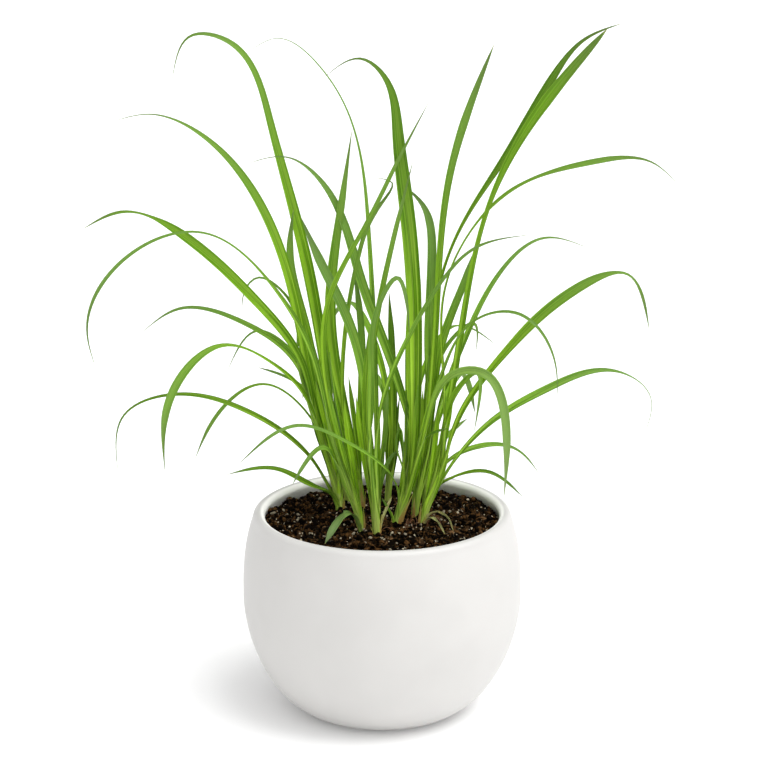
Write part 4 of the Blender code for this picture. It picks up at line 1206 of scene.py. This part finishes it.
def sheath_knots(middle, thick, leave_z, rank, heading):
    """Points up the outside of a stalk, from inside the mix to where the blade begins."""
    length = leave_z - SOIL_Z
    knots = []
    for z in np.linspace(SOIL_Z - SHEATH_DEPTH, leave_z, max(2, int(length / SHEATH_STEP) + 2)):
        risen = max(0.0, (z - SOIL_Z) / length)
        away = stem_half(thick, z - SOIL_Z) - LAYER * rank + PEEL * risen ** PEEL_POWER
        knots.append(place_at(middle, z) + heading * away)
    return knots


def leaf_mesh(name, row, stalk, rank, grass):
    """A leaf: its sheath runs up its stalk and opens into a blade."""
    _, _, height, widths, lean, _, points = row
    foot, thick, stalk_points = stalk
    middle = stalk_middle(foot, stalk_points)
    leave = place_at(middle, height * CM)
    heading = np.array(points[0]) * CM - leave
    heading[2] = 0.0
    heading = unit(heading)
    knots = sheath_knots(middle, thick, height * CM, rank, heading)
    last = knots[-1]
    knots.extend(np.array(points) * CM)
    route = smooth_route(knots, STEP)
    distance = distances(route)
    sheath_length = distance[np.argmin(np.linalg.norm(route - last, axis=1))]
    share, places = shares(distance, sheath_length)
    risen = smooth_step(distance / sheath_length)
    opened = smooth_step((distance - sheath_length + OPEN_BEFORE) / OPEN_LENGTH)
    turned = smooth_step((distance - sheath_length) / TURN_LENGTH)
    wrap = from_to(from_to(FOOT_WRAP, TOP_WRAP, risen), BLADE_WRAP, opened)
    fold = from_to(grass.fold * risen, grass.flat, smooth_step(places / UNFOLDED))
    foot_half = (stem_half(thick, 0.0) - LAYER * rank) * FOOT_WRAP
    sheath_half = from_to(foot_half, TOP_SPREAD * widths[0] * MM, risen)
    half_width = from_to(sheath_half, blade_half(places, widths), opened)
    thickness = from_to(grass.sheath, grass.thickness, opened) * (1 - TIP_THIN * places ** 2)
    frames = blade_normals(route, lean, -heading, turned)
    return blade_mesh(name, route, frames, half_width, wrap, fold, thickness, share)


def stalk_routes():
    """Each stalk's foot, its width and its route points."""
    return {row[0]: (row[1], row[2], row[-1]) for row in STALKS}


def sheath_ranks():
    """Each leaf's place among the sheaths of its stalk: 0 is the outermost, which leaves lowest."""
    ranks = {}
    counts = {}
    for row in sorted(LEAVES + DRY_LEAVES, key=lambda row: row[2]):
        ranks[row[0]] = counts.get(row[1], 0)
        counts[row[1]] = ranks[row[0]] + 1
    return ranks, counts


def side_route(stalk, heading, top, off, step):
    """A route up one side of a stalk, from inside the mix to the height top in cm over it, and the
    direction of that side. Off is its distance from the stalk's middle line at even heights."""
    foot, _, points = stalk
    middle = stalk_middle(foot, points)
    side = np.array((cos(radians(heading)), sin(radians(heading)), 0.0))
    heights = np.linspace(SOIL_Z - SHEATH_DEPTH, SOIL_Z + top * CM, len(off))
    knots = [place_at(middle, z) + side * away for z, away in zip(heights, off)]
    return smooth_route(knots, step), side


def strip_mesh(name, stalk, heading, top, away, width, lean, grass):
    """A narrow folded leaf that stands beside a stalk and ends inside the clump."""
    start = STRIP_FOOT * stalk[1] / 2 * MM
    off = start + away * MM * np.linspace(0, 1, STRIP_KNOTS) ** STRIP_OFF_POWER
    route, side = side_route(stalk, heading, top, off, STEP)
    places = np.linspace(0, 1, len(route))
    opened = smooth_step(places / STRIP_OPENED)
    wrap = from_to(FOOT_WRAP, BLADE_WRAP, opened)
    fold = grass.fold * opened * (1 - STRIP_FLATTER * places)
    blade = blade_half(places, (width, width, width * STRIP_NARROWER))
    half_width = from_to(start * FOOT_WRAP, blade, opened)
    thickness = from_to(grass.sheath, grass.thickness, opened)
    frames = blade_normals(route, lean, -side, smooth_step(places / STRIP_TURNED))
    share = STRIP_SHARE * places
    return blade_mesh(name, route, frames, half_width, wrap, fold, thickness, share)


def husk_mesh(name, stalk, heading, top, away, width, grass):
    """An old sheath that stands off the foot of a stalk."""
    start = stalk[1] / 2 * MM + HUSK_GAP
    off = start + away * MM * np.linspace(0, 1, HUSK_KNOTS) ** 2
    route, side = side_route(stalk, heading, top, off, HUSK_STEP)
    places = np.linspace(0, 1, len(route))
    half_width = np.maximum(width / 2 * MM * (1 - places ** HUSK_TAPER), TIP_HALF)
    wrap = HUSK_WRAP * (1 - HUSK_UNWRAPS * places)
    fold = np.full(len(route), HUSK_FOLD)
    thickness = np.full(len(route), grass.sheath)
    frames = blade_normals(route, (0, 0), -side, np.zeros(len(route)))
    return blade_mesh(name, route, frames, half_width, wrap, fold, thickness, places)


def rootlet_mesh(name, points, width):
    """A thin root that curls over the mix."""
    route = smooth_route(np.array(points) * CM + np.array((0, 0, SOIL_Z)), ROOT_STEP)
    along = unit(np.gradient(route, axis=0))
    first = unit(np.cross(along, ROOT_ASIDE))
    second = np.cross(along, first)
    half = width / 2 * MM * (1 - ROOT_THIN * np.linspace(0, 1, len(route)))
    sides = []
    for angle in 2 * pi * np.arange(ROOT_SIDES) / ROOT_SIDES:
        sides.append(route + (first * cos(angle) + second * sin(angle)) * half[:, None])
    rings = np.stack(sides, axis=1).reshape(-1, 3)
    return finish_mesh(mesh_of_points(name, rings, tube_faces(len(route), ROOT_SIDES)))


def leaf_materials(grass):
    """One finish for each tone."""
    looks = {
        "mid": (grass.mid, {}),
        "bright": (grass.bright, {}),
        # Painted shade: the leaves in the middle and low in the clump take the darker green
        "deep": (grass.deep, {"haze": 0.10}),
        "cool": (grass.cool, {"fresh": 0.45}),
        "clear": (grass.mid, {"fresh": 0.35, "haze": 0.05}),
        "blue": (grass.blue, {"fresh": 0.10}),
        "soft": (grass.mid, {"bloom": grass.bloom * 0.35}),
        "pale": (grass.mid, {"bloom": grass.bloom}),
    }
    materials = {}
    for tone, (colour, look) in looks.items():
        materials[tone] = leaf_finish("leaf_" + tone, colour, grass, **look)
    materials["dry"] = dry_finish("withered_leaf", grass.dry, grass)
    return materials


class LEMONGRASS_OT_grass(bpy.types.Operator):
    """Grow the stalks, the leaves and the withered leaves"""
    bl_idname = "lemongrass.grass"
    bl_label = "Make stalks and leaves"

    def execute(self, context):
        grass = context.scene.lemongrass_grass
        materials = leaf_materials(grass)
        routes = stalk_routes()
        ranks, counts = sheath_ranks()
        for name, foot, thick, widths, lean, tone, points in STALKS:
            mesh = shoot_mesh(name + "_shoot", foot, thick, widths, lean, points,
                              counts.get(name, 0), grass)
            new_piece(name + "_shoot", mesh, materials[tone], "stalk", name)
        for rows, ending, slot in ((LEAVES, "_blade", "leaf"), (WISPS, "", "leaf"),
                                   (DRY_LEAVES, "_blade", "dry_leaf")):
            for row in rows:
                name = row[0] + ending
                nodes = [row[0]] if ending else []
                mesh = leaf_mesh(name, row, routes[row[1]], ranks.get(row[0], 0), grass)
                new_piece(name, mesh, materials[row[5]], slot, *nodes)
        made = dict.fromkeys(routes, 0)
        for strips, lean in ((STRIPS, FACING), (TURNED, SIDEWAYS)):
            for stalk, heading, top, away, width, tone in strips:
                made[stalk] += 1
                name = f"{stalk}_strip_{made[stalk]:02d}"
                mesh = strip_mesh(name, routes[stalk], heading, top, away, width, lean, grass)
                new_piece(name, mesh, materials[tone], "stalk", stalk)
        return {"FINISHED"}


class LEMONGRASS_OT_feet(bpy.types.Operator):
    """Add the old sheaths and the rootlets at the feet of the stalks"""
    bl_idname = "lemongrass.feet"
    bl_label = "Make old sheaths and rootlets"

    def execute(self, context):
        grass = context.scene.lemongrass_grass
        routes = stalk_routes()
        husk = husk_finish(grass)
        for i, (stalk, heading, top, away, width) in enumerate(HUSKS, 1):
            name = f"old_sheath_{i:02d}"
            mesh = husk_mesh(name, routes[stalk], heading, top, away, width, grass)
            new_piece(name, mesh, husk, "dry_leaf")
        root = dry_finish("rootlet", between(grass.rust, grass.root, ROOT_DEEP), grass)
        for i, (width, points) in enumerate(ROOTLETS, 1):
            name = f"rootlet_{i:02d}"
            new_piece(name, rootlet_mesh(name, points, width), root, "dry_leaf")
        return {"FINISHED"}


# ---------------------------------------------------------------------------------------------------
# Stage
# ---------------------------------------------------------------------------------------------------
def add_sun(name, strength, width, azimuth, elevation):
    """A soft lamp far away, with its angles in degrees. Azimuth turns from the right to the front."""
    lamp = bpy.data.lights.new(name, "SUN")
    lamp.energy = strength
    lamp.angle = radians(width)
    sun = bpy.data.objects.new(name, lamp)
    azimuth = radians(azimuth)
    elevation = radians(elevation)
    source = Vector((cos(elevation) * cos(azimuth), -cos(elevation) * sin(azimuth), sin(elevation)))
    sun.rotation_euler = source.to_track_quat("Z", "Y").to_euler()
    bpy.context.scene.collection.objects.link(sun)


class LEMONGRASS_OT_stage(bpy.types.Operator):
    """Lay the floor and place the lamps and the camera"""
    bl_idname = "lemongrass.stage"
    bl_label = "Make stage"

    def execute(self, context):
        scene = context.scene
        stage = scene.lemongrass_stage
        floor = turned_mesh("floor", FLOOR_PROFILE, FLOOR_STEPS)
        floor.materials.append(floor_finish(stage))
        ground = bpy.data.objects.new("floor", floor)
        scene.collection.objects.link(ground)
        world = bpy.data.worlds.new("studio")
        world.use_nodes = True
        sky = world.node_tree.nodes["Background"]
        sky.inputs["Color"].default_value = (1.0, 1.0, 1.0, 1.0)
        sky.inputs["Strength"].default_value = stage.sky
        scene.world = world
        for name, width, azimuth, elevation in LAMPS:
            add_sun(name, getattr(stage, name), width, azimuth, elevation)
        scene.view_settings.view_transform = "Standard"
        camera = bpy.data.objects.new("camera", bpy.data.cameras.new("camera"))
        camera.data.lens = stage.lens
        camera.data.sensor_width = SENSOR_WIDTH
        away = Vector((0.0, -cos(stage.elevation), sin(stage.elevation)))
        camera.location = Vector(TARGET) + away * stage.distance
        camera.rotation_euler = away.to_track_quat("Z", "Y").to_euler()
        scene.collection.objects.link(camera)
        scene.camera = camera
        return {"FINISHED"}


class LEMONGRASS_PT_panel(bpy.types.Panel):
    """The operators of the plant"""
    bl_idname = "LEMONGRASS_PT_panel"
    bl_label = "Potted Lemongrass"
    bl_space_type = "VIEW_3D"
    bl_region_type = "UI"
    bl_category = "Lemongrass"

    def draw(self, context):
        for operator in OPERATORS:
            self.layout.operator(operator.bl_idname)


GROUPS = {
    "lemongrass_pot": LEMONGRASS_PG_pot,
    "lemongrass_mix": LEMONGRASS_PG_mix,
    "lemongrass_grass": LEMONGRASS_PG_grass,
    "lemongrass_stage": LEMONGRASS_PG_stage,
}
OPERATORS = (LEMONGRASS_OT_pot, LEMONGRASS_OT_mix, LEMONGRASS_OT_grass, LEMONGRASS_OT_feet,
             LEMONGRASS_OT_stage)
CLASSES = (*GROUPS.values(), *OPERATORS, LEMONGRASS_PT_panel)


def register():
    """Adds the classes and the settings."""
    for cls in CLASSES:
        bpy.utils.register_class(cls)
    for name, group in GROUPS.items():
        setattr(bpy.types.Scene, name, PointerProperty(type=group))


def unregister():
    """Removes them again."""
    for name in GROUPS:
        delattr(bpy.types.Scene, name)
    for cls in reversed(CLASSES):
        bpy.utils.unregister_class(cls)


def main():
    """Makes every piece."""
    register()
    bpy.ops.lemongrass.pot()
    bpy.ops.lemongrass.mix()
    bpy.ops.lemongrass.grass()
    bpy.ops.lemongrass.feet()
    bpy.ops.lemongrass.stage()


if __name__ == "__main__":
    main()
